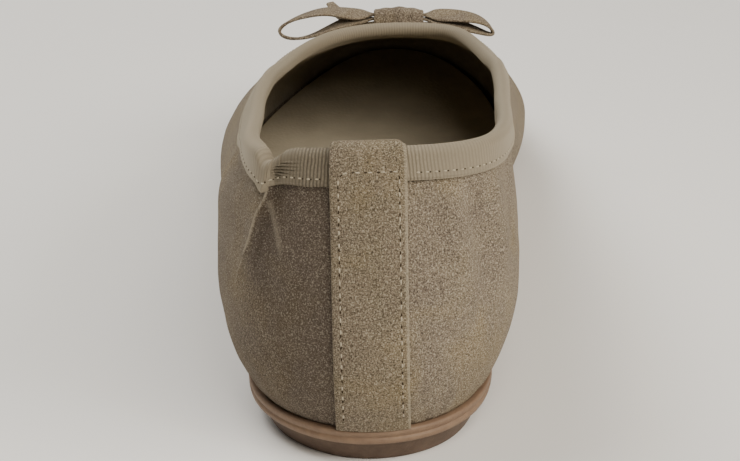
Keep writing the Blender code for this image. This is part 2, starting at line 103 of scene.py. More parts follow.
# Creases of the upper. Each runs through points given as (place, share): place counts the
# sections from the back of the heel, share is of the wall's height. before and after are its
# widths on the side of the lower and of the higher places, height is how far it lifts the skin,
# a power of 2 gives it a round top and 1 a sharp one, and fade_in and fade_out are the shares of
# its run over which it grows and dies away. Metres.
FOLD_COLUMNS = ("before", "after", "height", "power", "fade_in", "fade_out", "run")
FOLDS = {
    "collar_ridge": (
        0.0030, 0.0006, 0.0008, 1.15, 0.06, 0.40,
        (
            (18.58, 0.96), (18.53, 0.87), (18.44, 0.79), (18.40, 0.735), (18.33, 0.635),
            (18.21, 0.51), (18.10, 0.40),
        ),
    ),
    "collar_valley": (
        0.0010, 0.0026, -0.0005, 2.0, 0.05, 0.50,
        ((18.68, 0.96), (18.64, 0.86), (18.60, 0.75), (18.54, 0.63), (18.46, 0.50)),
    ),
    "second_ridge": (
        0.0012, 0.0018, 0.0006, 1.4, 0.10, 0.35,
        ((18.59, 0.86), (18.66, 0.81), (18.78, 0.74), (18.88, 0.67), (18.97, 0.60)),
    ),
    "inner_ball": (
        0.0125, 0.0125, 0.0015, 2.0, 0.2, 0.2,
        ((5.60, 0.24), (6.10, 0.24), (6.70, 0.24), (7.20, 0.24)),
    ),
}
# The softer ones all have a round top and a run of three points.
for name, before, after, height, fade_in, fade_out, *run in (
    ("heel_hollow", 42, 100, -8, 0.0, 0.55, (18.76, 0.94), (18.78, 0.66), (18.74, 0.22)),
    ("outer_bulge", 70, 70, 11, 0.3, 0.4, (18.00, 0.78), (17.30, 0.70), (16.40, 0.72)),
    ("bulge_crease", 12, 12, -7, 0.2, 0.3, (18.20, 0.875), (17.60, 0.862), (16.70, 0.852)),
    ("side_notch", 30, 30, -6, 0.3, 0.4, (18.10, 0.66), (17.50, 0.60), (16.90, 0.57)),
    ("low_dent", 60, 60, -6, 0.3, 0.5, (18.30, 0.52), (18.00, 0.38), (17.60, 0.28)),
    ("inner_ripple", 34, 34, 11, 0.1, 0.5, (1.05, 0.84), (1.16, 0.62), (1.26, 0.35)),
    ("inner_hollow", 34, 34, -11, 0.1, 0.5, (1.42, 0.86), (1.46, 0.62), (1.42, 0.35)),
    ("inner_second", 34, 34, 11, 0.1, 0.5, (1.82, 0.86), (1.82, 0.64), (1.72, 0.42)),
    ("inner_third", 40, 40, -10, 0.1, 0.5, (2.35, 0.86), (2.25, 0.68), (2.10, 0.50)),
    ("inner_waist", 50, 50, 6, 0.3, 0.5, (3.30, 0.82), (3.60, 0.62), (4.10, 0.45)),
    ("outer_waist", 50, 50, 5, 0.3, 0.5, (16.20, 0.80), (15.80, 0.60), (15.20, 0.45)),
    ("vamp_inner", 26, 34, -5, 0.3, 0.5, (7.30, 0.62), (7.00, 0.48), (6.60, 0.34)),
    ("vamp_outer", 34, 26, -5, 0.3, 0.5, (12.50, 0.62), (12.90, 0.48), (13.30, 0.34)),
):
    # widths and height in tenths of a millimetre
    FOLDS[name] = (before * 1e-4, after * 1e-4, height * 1e-4, 2.0, fade_in, fade_out, run)
# How wide, and how strongly, a highlight is painted pale along the crests of the two sharp creases.
CREST_HIGHLIGHT = {"collar_ridge": (0.00034, 1.0), "second_ridge": (0.0012, 0.40)}
# Where the elastic in the binding pulls the back of the collar down, beside the collar's crease.
DIP_PLACE = 18.50
DIP_DEPTH = 0.0028
DIP_BEFORE = 0.0024
DIP_AFTER = 0.0052
DIP_FOOT = 0.70
# Slight unevenness of the skin over the lining, and puckers where the margin turns under.
UNEVEN_SIZE = 0.011
UNEVEN_HEIGHT = 0.00022
CALM_FOOT = 0.003
CALM_TOP = 0.006
CALM_FADE = 0.010
PUCKER_PITCH = 0.0052
PUCKER_HEIGHT = 0.00016
PUCKER_MIDDLE = 0.0022
PUCKER_REACH = 0.0050


def smooth_step(value, start, end):
    share = np.clip((value - start) / (end - start), 0.0, 1.0)
    return share * share * (3.0 - 2.0 * share)


def bell(value, middle, width):
    """1 at the middle, dying away on both sides over about this width."""
    return np.exp(-(((value - middle) / width) ** 2))


def unit(vectors):
    return vectors / np.linalg.norm(vectors, axis=-1, keepdims=True)


def between(rows, slopes, first, after, t):
    """Points a share t of the way from each first row to the row after it, with these slopes."""
    return (
        rows[first] * (1 + 2 * t) * (1 - t) ** 2
        + slopes[first] * t * (1 - t) ** 2
        + rows[after] * t * t * (3 - 2 * t)
        + slopes[after] * t * t * (t - 1)
    )


def closed_curve(rows, places):
    """Points at these row numbers on the smooth closed curve through the rows."""
    rows = np.asarray(rows, float)
    count = len(rows)
    system = 4.0 * np.eye(count) + np.roll(np.eye(count), 1, 0) + np.roll(np.eye(count), -1, 0)
    slopes = np.linalg.solve(system, 3.0 * (np.roll(rows, -1, 0) - np.roll(rows, 1, 0)))
    places = np.asarray(places, float) % count
    first = np.floor(places).astype(int) % count
    t = (places - np.floor(places))[:, None]
    return between(rows, slopes, first, (first + 1) % count, t)


def open_curve(rows, places):
    """Points at these row numbers on a smooth curve through the rows, with natural ends."""
    rows = np.asarray(rows, float)
    count = len(rows)
    system = 4.0 * np.eye(count) + np.eye(count, k=1) + np.eye(count, k=-1)
    system[0, 0] = system[-1, -1] = 2.0
    change = 3.0 * (np.roll(rows, -1, 0) - np.roll(rows, 1, 0))
    change[0] = 3.0 * (rows[1] - rows[0])
    change[-1] = 3.0 * (rows[-1] - rows[-2])
    first = np.clip(np.floor(places).astype(int), 0, count - 2)
    t = (places - first)[:, None]
    return between(rows, np.linalg.solve(system, change), first, first + 1, t)


def level_normals(way):
    """Level unit normals, to the right of each way."""
    return unit(np.stack([way[:, 1], -way[:, 0], np.zeros(len(way))], 1))


def plan_normals(points):
    """Unit normals, pointing out, of a closed outline seen from above."""
    return level_normals(np.roll(points, -1, 0) - np.roll(points, 1, 0))


def runs_along(points, closed=False):
    """Distance along a path to each of its points, and on to the first again if it is closed."""
    points = np.concatenate([points, points[:1]]) if closed else np.asarray(points)
    steps = np.linalg.norm(np.diff(points, axis=0), axis=1)
    return np.concatenate([[0.0], np.cumsum(steps)])


def spaced(count, fine, density):
    """This many places round the shoe, as close together as the density at the fine ones says."""
    total = np.concatenate([[0.0], np.cumsum((density[1:] + density[:-1]) / 2)])
    return np.interp(np.arange(count) * total[-1] / count, total, fine)


def width_at(along):
    share = smooth_step(along, 0.25 * LENGTH, 0.68 * LENGTH)
    return HEEL_WIDTH + (BALL_WIDTH - HEEL_WIDTH) * share


def sole_top(along):
    """Height of the outsole's upper face above the floor."""
    seat_front = LIFT_LENGTH + SHANK_GAP
    waist = np.clip((along - seat_front) / (BALL_START - seat_front), 0.0, 1.0)
    shank = (LIFT_HEIGHT + CLEARANCE) * (1.0 - smooth_step(along, seat_front, BALL_START))
    arch = ARCH_RISE * np.sin(math.pi * waist) ** 2
    spring = TOE_SPRING * np.clip((along - BALL_END) / (LENGTH - BALL_END), 0.0, 1.2) ** 2
    return shank + arch + spring + SOLE_THICKNESS


def topline_rise(along):
    to_side = smooth_step(along, 0.0, 0.42 * LENGTH)
    to_throat = smooth_step(along, 0.42 * LENGTH, 0.69 * LENGTH)
    return BACK_RISE + (SIDE_RISE - BACK_RISE) * to_side + (THROAT_RISE - SIDE_RISE) * to_throat


def wall_lines(places):
    """Section lines of the bare wall, each as fine steps from the sole's edge to the topline."""
    row = dict(zip(SECTION_COLUMNS, closed_curve(SECTION_ROWS, places).T))
    along = row["along"] * LENGTH
    top_along = row["top_along"] * LENGTH
    foot = np.stack([row["across"] * width_at(along), along, sole_top(along) + CLEARANCE], 1)
    top_height = sole_top(top_along) + topline_rise(top_along) * row["top_height"]
    top = np.stack([row["top_across"] * width_at(top_along), top_along, top_height], 1)
    ends = []
    for near in (places + 0.05, places - 0.05):
        rows = closed_curve(SECTION_ROWS, near)
        near_along = rows[:, 0] * LENGTH
        ends.append(np.stack([rows[:, 1] * width_at(near_along), near_along], 1))
    out = level_normals(ends[0] - ends[1])
    up = np.array([0.0, 0.0, 1.0])
    rise = (top[:, 2] - foot[:, 2])[:, None]
    low = foot + out * SWELL * row["low_out"][:, None] + up * rise * row["low_up"][:, None]
    high = top + (foot - top) * np.array([1.0, 1.0, 0.0]) * TOP_LEAD
    high = high + out * SWELL * row["high_out"][:, None] - up * rise * row["high_down"][:, None]
    t = np.linspace(0.0, 1.0, FINE_STEPS)[None, :, None]
    lines = (
        foot[:, None] * (1 - t) ** 3
        + 3 * low[:, None] * t * (1 - t) ** 2
        + 3 * high[:, None] * t * t * (1 - t)
        + top[:, None] * t**3
    )
    return lines - np.array([0.0, HEEL_CENTRE, 0.0])


def line_runs(lines):
    steps = np.linalg.norm(np.diff(lines, axis=1), axis=2)
    return np.concatenate([np.zeros((len(lines), 1)), np.cumsum(steps, 1)], 1)


# Distance round the shoe at half height, and the wall's height, for each place number.
GIRTH_PLACES = np.linspace(-4.0, 24.0, 1121)
GIRTH_LINES = wall_lines(GIRTH_PLACES)
GIRTH_HEIGHTS = line_runs(GIRTH_LINES)[:, -1]
GIRTH_RUNS = runs_along(GIRTH_LINES[:, FINE_STEPS // 2])
GIRTH_RUNS -= np.interp(0.0, GIRTH_PLACES, GIRTH_RUNS)
GIRTH_ROUND = np.interp(20.0, GIRTH_PLACES, GIRTH_RUNS)


def girth_at(place):
    return np.interp(place, GIRTH_PLACES, GIRTH_RUNS)


def round_shoe(girth, middle):
    """Distance round the shoe from middle, the short way, more for higher places."""
    return (girth - middle + GIRTH_ROUND / 2) % GIRTH_ROUND - GIRTH_ROUND / 2


def crease_relief(girth, run, crest_highlight=False):
    """How far the creases lift the skin at this distance round the shoe and up the wall, or
    where a highlight is painted pale on the crests of the sharp ones, from 0 to 1.
    """
    relief = np.zeros(np.broadcast(girth, run).shape)
    for name, values in FOLDS.items():
        fold = dict(zip(FOLD_COLUMNS, values))
        if crest_highlight:
            if name not in CREST_HIGHLIGHT:
                continue
            width, amount = CREST_HIGHLIGHT[name]
            fold.update(before=width, after=width, height=amount, power=2.0)
        steps = 60
        place, share = open_curve(fold["run"], np.linspace(0, len(fold["run"]) - 1, steps)).T
        t = np.linspace(0.0, 1.0, steps)
        path_girth = girth_at(place)
        path_run = share * np.interp(place, GIRTH_PLACES, GIRTH_HEIGHTS)
        strength = 1.0 - smooth_step(t, 1.0 - fold["fade_out"], 1.0)
        if fold["fade_in"]:
            strength = strength * smooth_step(t, 0.0, fold["fade_in"])
        reach = 3.0 * max(fold["before"], fold["after"])
        near = round_shoe(girth, path_girth.mean())
        near = np.abs(near) < reach + np.ptp(path_girth)
        near = near & (run > path_run.min() - reach) & (run < path_run.max() + reach)
        at_girth = np.broadcast_to(girth, near.shape)[near]
        at_run = np.broadcast_to(run, near.shape)[near]
        best = np.zeros(len(at_girth))
        for p in range(steps):
            beside = round_shoe(at_girth, path_girth[p])
            width = np.where(beside < 0, fold["before"], fold["after"])
            away = np.hypot(beside, at_run - path_run[p]) / width
            best = np.maximum(best, strength[p] * np.exp(-(away ** fold["power"])))
        relief[near] += best * fold["height"]
    return relief


def collar_dip(girth, share):
    """How far the wall is pulled down beside the collar's crease."""
    beside = round_shoe(girth, girth_at(DIP_PLACE))
    width = np.where(beside < 0, DIP_BEFORE, DIP_AFTER)
    return DIP_DEPTH * bell(beside, 0.0, width) * smooth_step(share, DIP_FOOT, 1.0)


class Wall:
    """The outer face of the suede at chosen places, with its creases."""

    def __init__(self, places):
        self.places = np.asarray(places, float)
        self.lines = wall_lines(self.places)
        self.runs = line_runs(self.lines)
        self.length = self.runs[:, -1]
        self.way_round = wall_lines(self.places + 0.02) - wall_lines(self.places - 0.02)
        self.girth = girth_at(self.places)

    def at(self, run, offset=0.0, creased=True):
        """(points, way up, way out) at distances up the wall, one row of them for each place."""
        run = np.broadcast_to(run, (len(self.places), np.shape(run)[-1]))
        step = self.length[0] / FINE_STEPS
        points = np.empty((*run.shape, 3))
        up = np.empty_like(points)
        way = np.empty_like(points)
        for k in range(len(run)):
            above = np.minimum(run[k] + step, self.length[k])
            below = np.maximum(run[k] - step, 0.0)
            for axis in range(3):
                line = self.lines[k, :, axis]
                points[k, :, axis] = np.interp(run[k], self.runs[k], line)
                up[k, :, axis] = np.interp(above, self.runs[k], line) - np.interp(below, self.runs[k], line)
                way[k, :, axis] = np.interp(run[k], self.runs[k], self.way_round[k, :, axis])
        out, up = unit(np.cross(way, up)), unit(up)
        moved = points
        if creased:
            girth = self.girth[:, None]
            moved = moved + out * crease_relief(girth, run)[..., None]
            moved = moved - up * collar_dip(girth, run / self.length[:, None])[..., None]
        return moved + out * np.broadcast_to(offset, run.shape)[..., None], up, out

    def below_top(self, distance, offset=0.0, above=0.0):
        """Points this far down from the topline, off the wall by offset, raised by above."""
        distance = np.broadcast_to(distance, (len(self.places), np.shape(distance)[-1]))
        points, up, out = self.at(self.length[:, None] - distance)
        return points + out * np.asarray(offset)[..., None] + up * np.asarray(above)[..., None]


def placed(name, data):
    """Puts an object with this data in the scene."""
    made = bpy.data.objects.new(name, data)
    bpy.context.scene.collection.objects.link(made)
    return made


def add_piece(name, points, faces, finish, nodes, sharp=50, uv=None):
    """Puts a mesh in the scene as a piece of the shoe that stands for these nodes."""
    mesh = bpy.data.meshes.new(name)
    mesh.from_pydata(np.reshape(points, (-1, 3)).tolist(), [], faces)
    if uv is not None:
        mesh.uv_layers.new(name="metres").data.foreach_set("uv", np.ravel(uv))
    mesh.materials.append(finish)
    mesh.shade_smooth()
    mesh.set_sharp_from_angle(angle=math.radians(sharp))
    made = placed(name, mesh)
    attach(made, "root")
    if nodes:
        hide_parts(*nodes)
    return made


def loft(name, rings, closed, finish, nodes, around=None, sharp=50):
    """A closed solid through closed cross-sections, with caps where the row of them ends.

    The UV map holds distances in metres: around is each ring's own.
    """
    rings = np.asarray(rings, float)
    count, size = rings.shape[:2]
    spans = count if closed else count - 1
    k, m = np.meshgrid(np.arange(spans), np.arange(size), indexing="ij")
    k, m = k.ravel(), m.ravel()
    corners = [(k, m), (k + 1, m), (k + 1, m + 1), (k, m + 1)]
    faces = np.stack([(a % count) * size + b % size for a, b in corners], 1).tolist()
    if around is None:
        around = runs_along(rings.mean(1), closed=True)
    along = runs_along(rings[0], closed=True)
    uv = np.stack([np.stack([around[a], along[b]], 1) for a, b in corners], 1)
    uv = uv.reshape(-1, 2).tolist()
    if not closed:
        first = list(range(size))
        last = [(count - 1) * size + j for j in range(size)]
        faces += [first, last[::-1]]
        uv += [[around[0], along[j]] for j in first]
        uv += [[around[count - 1], along[j]] for j in first[::-1]]
    return add_piece(name, rings, faces, finish, nodes, sharp, uv)


def colour(hex_value):
    """Linear colour for an sRGB hex value such as "8F7D66"."""
    shares = [int(hex_value[k:k + 2], 16) / 255 for k in (0, 2, 4)]
    linear = [s / 12.92 if s <= 0.04045 else ((s + 0.055) / 1.055) ** 2.4 for s in shares]
    return (*linear, 1.0)


def new_material(name, **sockets):
    """(material, its node tree, its shader), with constants set on the shader's own sockets."""
    made = bpy.data.materials.new(name)
    made.use_nodes = True
    shader = made.node_tree.nodes["Principled BSDF"]
    for socket, value in sockets.items():
        shader.inputs[socket.replace("_", " ")].default_value = value
    return made, made.node_tree, shader


def node(tree, kind, inputs, output=0, **settings):
    """Adds one node and gives its output, by number or name, or for None all its outputs.

    inputs gives sockets a value or another node's output, as a list in their order or a dict.
    """
    made = tree.nodes.new("ShaderNode" + kind)
    for name, value in settings.items():
        setattr(made, name, value)
    for name, value in inputs.items() if isinstance(inputs, dict) else enumerate(inputs):
        if isinstance(value, bpy.types.NodeSocket):
            tree.links.new(value, made.inputs[name])
        else:
            made.inputs[name].default_value = value
    return made.outputs if output is None else made.outputs[output]


def dress(tree, shader, ground, layers, height=None, strength=0.0, distance=0.0):
    """Lays colours one over another on the ground, each by its share, and bumps the surface."""
    tone = colour(ground)
    for share, over in layers:
        inputs = {0: share, 6: tone, 7: colour(over)}
        tone = node(tree, "Mix", inputs, 2, data_type="RGBA")
    tree.links.new(tone, shader.inputs["Base Color"])
    if height is not None:
        inputs = {"Height": height, "Strength": strength, "Distance": distance}
        tree.links.new(node(tree, "Bump", inputs), shader.inputs["Normal"])


# Painted shade: behind the collar's crease the outer quarter's colour is darkened, standing for
# the shade in the hollow there. Its edge is a slanting line, sharp along the crease and soft below it.
# Metres.
PAINTED_SHADE_TONE = "3F3530"
SHADE_SLANT = -0.293
SHADE_START = -0.0394
SHADE_EDGE = 0.0018
SHADE_SOFT = 0.0180
SHADE_TOP = 0.044
SHADE_FOOT = 0.018
SHADE_SEAM = -0.0060
SHADE_WAIST = 0.030


def brushed_suede(name, dark, light, speck_dark, speck_light, painted_shade=False, rim_highlight_start=None):
    """Kid suede, the flesh side buffed to a short nap: dull, with a soft sheen at the edges and
    fine flecks of lighter and darker fibre. The fibres are far finer than a pixel, so the flecks
    are drawn 0.35 mm wide, and patches of nap lying one way or the other about 9 mm wide. A
    strip cut from it gets a painted highlight, pale along its rims, from the given distance from its middle
    line on. The upper's suede can also carry painted shade behind the collar's crease and a painted
    highlight on the crests.
    """
    made, tree, shader = new_material(
        name, Roughness=0.95, IOR=1.45, Specular_IOR_Level=0.25, Sheen_Weight=0.12,
        Sheen_Roughness=0.45, Sheen_Tint=colour("D8C8AE"),
    )
    place = node(tree, "TexCoord", [], "Object")
    patch, stain, fleck, fibre = [
        node(tree, "TexNoise", {
            "Vector": place, "Scale": scale, "Detail": detail, "Roughness": rough, "Distortion": twist,
        })
        for scale, detail, rough, twist in (
            (110.0, 7.0, 0.70, 0.0), (70.0, 3.0, 0.5, 0.6), (3100.0, 2.5, 0.6, 0.0),
            (2500.0, 3.0, 0.65, 0.0),
        )
    ]
    bright = node(tree, "MapRange", [fleck, 0.51, 0.68])
    layers = [
        (node(tree, "MapRange", [patch, 0.36, 0.64]), light),
        (node(tree, "MapRange", [stain, 0.50, 0.72, 0.0, 0.55]), "82714F"),
        (node(tree, "MapRange", [stain, 0.50, 0.28, 0.0, 0.45]), "6F6259"),
        (bright, speck_light),
        (node(tree, "MapRange", [fleck, 0.49, 0.31]), speck_dark),
    ]
    # painted shade: darkens the outer quarter's colour behind the collar's crease
    if painted_shade:
        spot = node(tree, "SeparateXYZ", [place], None)
        slant = node(tree, "Math", [spot["Z"], SHADE_SLANT, spot["X"]], operation="MULTIPLY_ADD")
        end = node(
            tree, "MapRange",
            [spot["Z"], SHADE_TOP, SHADE_FOOT, SHADE_START + SHADE_EDGE, SHADE_START + SHADE_SOFT],
        )
        shade = node(tree, "MapRange", [slant, SHADE_START, end, 0.45, 1.0])
        for limits in (
            [slant, SHADE_START + 0.003, SHADE_START + 0.008, 1.0, 0.80],
            # the painted shade ends at the back seam and towards the waist, and spares the brightest fibres
            [spot["X"], SHADE_SEAM, SHADE_SEAM - 0.0008],
            [spot["Y"], SHADE_WAIST, SHADE_WAIST - 0.025, 0.0, 0.80],
            [bright, 0.0, 1.0, 1.0, 0.6],
        ):
            share = node(tree, "MapRange", limits)
            shade = node(tree, "Math", [shade, share], operation="MULTIPLY")
        layers.append((shade, PAINTED_SHADE_TONE))
        # painted highlight: pale along the crests of the sharp creases
        crest = node(tree, "Attribute", [], "Fac", attribute_name="crest_highlight")
        layers.append((node(tree, "MapRange", [crest, 0.1, 1.0, 0.0, 0.75]), speck_light))
    # painted highlight: pale along the strip's rims, where its rounded edges catch the light
    if rim_highlight_start:
        across = node(tree, "SeparateXYZ", [node(tree, "UVMap", [])], "Y")
        away = node(tree, "Math", [across, STRIP_WIDTH / 2], operation="SUBTRACT")
        away = node(tree, "Math", [away], operation="ABSOLUTE")
        rim_highlight = node(tree, "MapRange", [away, rim_highlight_start, rim_highlight_start + 0.0003, 0.0, 0.42])
        layers.append((rim_highlight, speck_light))
    dress(tree, shader, dark, layers, fibre, 0.9, 0.0004)
    return made


# the upper's suede carries painted shade behind the collar's crease
TAUPE_SUEDE = brushed_suede(
    "brushed_kid_suede", "73685B", "827664", "453D34", "AAA08D", painted_shade=True,
)

# The upper's stations lie closer together round the heel and closest at the collar's crease.
fine = np.linspace(0.0, len(SECTIONS), 2001)
density = 2.0 - smooth_step(np.minimum(fine, len(SECTIONS) - fine), 2.5, 4.5)
density += 3.5 * bell(fine, DIP_PLACE - 0.1, 0.4)
upper_wall = Wall(spaced(UPPER_STATIONS, fine, density))


def skin_unevenness(points):
    """Small soft lumps, the same for the same place each time."""
    flat = points.reshape(-1, 3) / UNEVEN_SIZE
    values = [noise.noise(Vector(p)) + 0.5 * noise.noise(Vector(p * 2.3)) for p in flat]
    return np.array(values).reshape(points.shape[:2]) * UNEVEN_HEIGHT


def upper_rings(wall):
    """Sections of the upper, and where a highlight is painted pale on their points. Each section runs from
    the margin up the outer face to the topline, down the inner face and back along the margin.
    """
    share = np.linspace(0.0, 1.0, UPPER_ROWS)
    share = 0.35 * share + 0.65 * share**0.85
    length = wall.length[:, None]
    runs = length * share[None, :]
    points, _, out = wall.at(runs)
    uneven = 1.0 - smooth_step(runs, length - CALM_FADE, length - CALM_TOP)
    uneven *= smooth_step(runs, 0.0, CALM_FOOT) * skin_unevenness(points)
    points = points + out * uneven[..., None]
    wave = np.sin(2 * math.pi * wall.girth / PUCKER_PITCH + 2.3 * np.sin(wall.girth / 0.017))
    pucker = wave[:, None] * PUCKER_HEIGHT * bell(runs, PUCKER_MIDDLE, PUCKER_REACH)
    points = points + out * (pucker * smooth_step(runs, 0.0, 0.0015))[..., None]
    foot = points[:, 0]
    normals = plan_normals(foot)

    def margin(widths, height):
        sheet = []
        for inward in widths:
            ring = foot - normals * inward
            ring[:, 2] = sole_top(ring[:, 1] + HEEL_CENTRE) + height
            sheet.append(ring)
        return np.stack(sheet, 1)

    below = margin((LASTING_MARGIN, LASTING_MARGIN / 2, 0.0010), CLEARANCE)
    inside, _, _ = wall.at(length * np.linspace(1.0, 0.04, INSIDE_ROWS)[None, :], -SUEDE_THICKNESS)
    upon = margin(
        (SUEDE_THICKNESS + 0.0008, LASTING_MARGIN / 2, LASTING_MARGIN), CLEARANCE + SUEDE_THICKNESS,
    )
    rings = np.concatenate([below, points, inside, upon], 1)
    wear_and_highlight = np.zeros(rings.shape[:2])
    face = slice(below.shape[1], below.shape[1] + UPPER_ROWS)
    wear_and_highlight[:, face] = crease_relief(wall.girth[:, None], runs, crest_highlight=True)
    return rings, wear_and_highlight


rings, wear_and_highlight = upper_rings(upper_wall)
upper = loft("upper_suede", rings, True, TAUPE_SUEDE, ["upper"], sharp=60)
# this attribute holds where a highlight is painted pale along the crests of the sharp creases
upper.data.attributes.new("crest_highlight", "FLOAT", "POINT").data.foreach_set("value", wear_and_highlight.ravel())


# Lining: thin split pigskin bonded to the suede, its edge caught under the binding. It shows
# inside the collar, and turns dark towards the toe where little light comes.
LINING_STATIONS = 280
LINING_ROWS = 34
LINING_FOOT = 0.0035
LINING_TOP_GAP = 0.0006
LINING_GAP = 0.0001


def mottled(name, tones, patch, spread, grain=None, **sockets):
    """A material mottled between two tones, its surface bumped by a fine grain.

    patch holds the settings of the patches' noise and spread the part of it over which the tone
    turns. grain holds the kind and settings of a texture, then the bump's strength and depth.
    """
    made, tree, shader = new_material(name, **sockets)
    place = node(tree, "TexCoord", [], "Object")
    share = node(tree, "MapRange", [node(tree, "TexNoise", {"Vector": place, **patch}), *spread])
    bump = ()
    if grain:
        kind, settings, *depth = grain
        bump = (node(tree, kind, {"Vector": place, **settings}), *depth)
    dress(tree, shader, tones[0], [(share, tones[1])], *bump)
    return made


# Split pigskin, lightly buffed: dull, a little mottled, with pores drawn 0.8 mm apart.
LINING_LEATHER = mottled(
    "buffed_pigskin_lining", ("8C8270", "9B917E"), {"Scale": 160.0, "Detail": 5.0, "Roughness": 0.6},
    (0.35, 0.65), ("TexVoronoi", {"Scale": 1250.0}, 0.3, 0.0002),
    Roughness=0.85, IOR=1.45, Specular_IOR_Level=0.3,
)
lining_wall = Wall(np.arange(LINING_STATIONS) * len(SECTIONS) / LINING_STATIONS)
lining_top = lining_wall.length[:, None] - LINING_TOP_GAP
lining_runs = LINING_FOOT + (lining_top - LINING_FOOT) * np.linspace(0.0, 1.0, LINING_ROWS)[None, :]
lining_rings = np.concatenate([
    lining_wall.at(lining_runs, -SUEDE_THICKNESS - LINING_GAP)[0],
    lining_wall.at(lining_runs[:, ::-1], -WALL)[0],
], 1)
loft("quarter_lining", lining_rings, True, LINING_LEATHER, [])


# Topline binding: ribbed ribbon (grosgrain) folded over the raw edge of the suede and stitched
# down through both layers. Its ribs run across its width, 0.74 mm apart.
BINDING_THICKNESS = 0.0007
BINDING_TURN = 0.0055
BINDING_EDGE_GROW = 0.00015
BINDING_EDGE_FALL = 0.0003
BINDING_STATIONS = 1000
RIB_PITCH = 0.00074
RIB_MEAN = 0.62
RIB_WANDER = 0.00035
# Places where the ribs rise and die away, and between which painted shade darkens the ribbon behind the
# lap.
RIB_PLACES = (18.85, 19.20, 0.50, 1.10, 18.62, 18.72)
# At the tight corner of the collar the ribbon of the side laps over that of the back: it stands
# off by BAND_STEP along a slanting edge and hangs down TIP_DROP there, and behind it the back's
# ribbon is squeezed into level pleats. The ribbon also shows narrower on the inner side, behind
# the lap and most on the side before it. Places are as for the creases.
BAND_STEP = 0.0005
BAND_GROWS = 17.90
LAP_TOP = 18.62
LAP_FOOT = 18.57
LAP_WIDTH = 0.010
INNER_NARROW = 0.0009
OUTER_NARROW = 0.0032
BEHIND_NARROW = 0.0005
DIP_SLACK = 0.5
NARROWEST = 17.60
NARROW_REACH = 0.50
SEAM_ABOVE = 0.0015
TIP_DROP = 0.0009
TIP_REACH = 0.12
# The two ribbons and the elastic's knot make the fold thicker inside, before the lap.
FOLD_SWELL = 0.0013
SWELL_PLACE = 17.92
SWELL_BEFORE = 0.40
SWELL_AFTER = 0.26
PLEAT_PITCH = 0.00080
PLEAT_HEIGHT = 0.00024
PLEAT_START_FADE = 18.78
PLEAT_END = 19.22


def woven_grosgrain(ribs_from, ribs_full, ribs_fade, ribs_end, lap_start, lap_end):
    """Viscose grosgrain, tightly woven with thick weft ribs: a dry satin gleam on each rib, partly
    from the shader and partly a painted highlight, and a line of painted shade in each groove. The ribs are
    at their real pitch, the thread flecks coarser. The elastic at the back pulls the ribs up; elsewhere
    they lie almost flat. The first four are distances round the topline between which they rise and
    die away again, the last two those between which painted shade grows behind the lap.
    """
    made, tree, shader = new_material(
        "woven_grosgrain_ribbon", Roughness=0.72, IOR=1.5, Specular_IOR_Level=0.35,
        Sheen_Weight=0.3, Sheen_Roughness=0.5, Sheen_Tint=colour("E2D6C0"),
    )
    run = node(tree, "SeparateXYZ", [node(tree, "UVMap", [])], "X")
    opens = node(tree, "MapRange", [run, ribs_from, ribs_full, 0.2, 1.0])
    closes = node(tree, "MapRange", [run, ribs_fade, ribs_end, 0.55, 0.2])
    share = node(tree, "Math", [opens, closes], operation="MAXIMUM")
    wander, fleck = [
        node(tree, "TexNoise", {
            "Vector": node(tree, "TexCoord", [], "Object"), "Scale": scale, "Detail": 2.0,
        })
        for scale in (420.0, 1900.0)
    ]
    moved = node(tree, "Math", [wander, RIB_WANDER, run], operation="MULTIPLY_ADD")
    turns = node(tree, "Math", [moved, 2 * math.pi / RIB_PITCH], operation="MULTIPLY")
    wave = node(tree, "Math", [turns], operation="SINE")
    rib = node(tree, "MapRange", [wave, -1.0, 0.5])
    wear_and_highlight = node(tree, "MapRange", [fleck, 0.3, 0.7, 0.55, 1.0])
    full = node(tree, "Math", [rib, wear_and_highlight], operation="MULTIPLY")
    less = node(tree, "Math", [full, RIB_MEAN], operation="SUBTRACT")
    depth = node(tree, "Math", [less, share, RIB_MEAN], operation="MULTIPLY_ADD")
    # painted shade: darkens the ribbon behind the lap, among the back's pleats
    pleat_shade = node(tree, "MapRange", [run, lap_start, lap_end, 0.0, 0.4])
    # the ribs' depth bumps them and also paints a highlight on each rib and shade in each groove
    dress(
        tree, shader, "584F40", [(depth, "958A76"), (pleat_shade, "3F382C")], depth, 0.8, 0.00022,
    )
    return made


# The ribbon's stations lie closest together where it laps at the corner.
fine = np.linspace(0.0, len(SECTIONS), 4001)
density = 1.0 + 9.0 * bell(fine, LAP_FOOT + 0.07, 0.14)
binding_wall = Wall(spaced(BINDING_STATIONS, fine, density))
topline_run = runs_along(binding_wall.lines[:, -1], closed=True)
rib_runs = np.interp(RIB_PLACES, binding_wall.places, topline_run[:-1])
GROSGRAIN = woven_grosgrain(*[float(run) for run in rib_runs])


def band_lift(places, down):
    """How far the side's ribbon stands off the wall, at these places and distances down."""
    lap = LAP_TOP + (LAP_FOOT - LAP_TOP) * np.clip(down / BINDING_DEPTH, 0.0, 1.2)
    grown = smooth_step(places, BAND_GROWS, LAP_FOOT)
    return BAND_STEP * grown * (1.0 - smooth_step(places, lap - LAP_WIDTH, lap + LAP_WIDTH))


def ribbon_narrow(places):
    """How much less of the ribbon lies outside, behind on the inner side and before the lap."""
    inner = INNER_NARROW * smooth_step(places, 0.2, 0.5) * (1.0 - smooth_step(places, 2.5, 4.5))
    behind = smooth_step(places, LAP_FOOT, LAP_FOOT + 0.03) * (1.0 - smooth_step(places, 18.8, 19.3))
    side = bell(places, NARROWEST, NARROW_REACH)
    slack = DIP_SLACK * collar_dip(girth_at(places), 1.0)
    return inner + OUTER_NARROW * side + BEHIND_NARROW * behind + slack


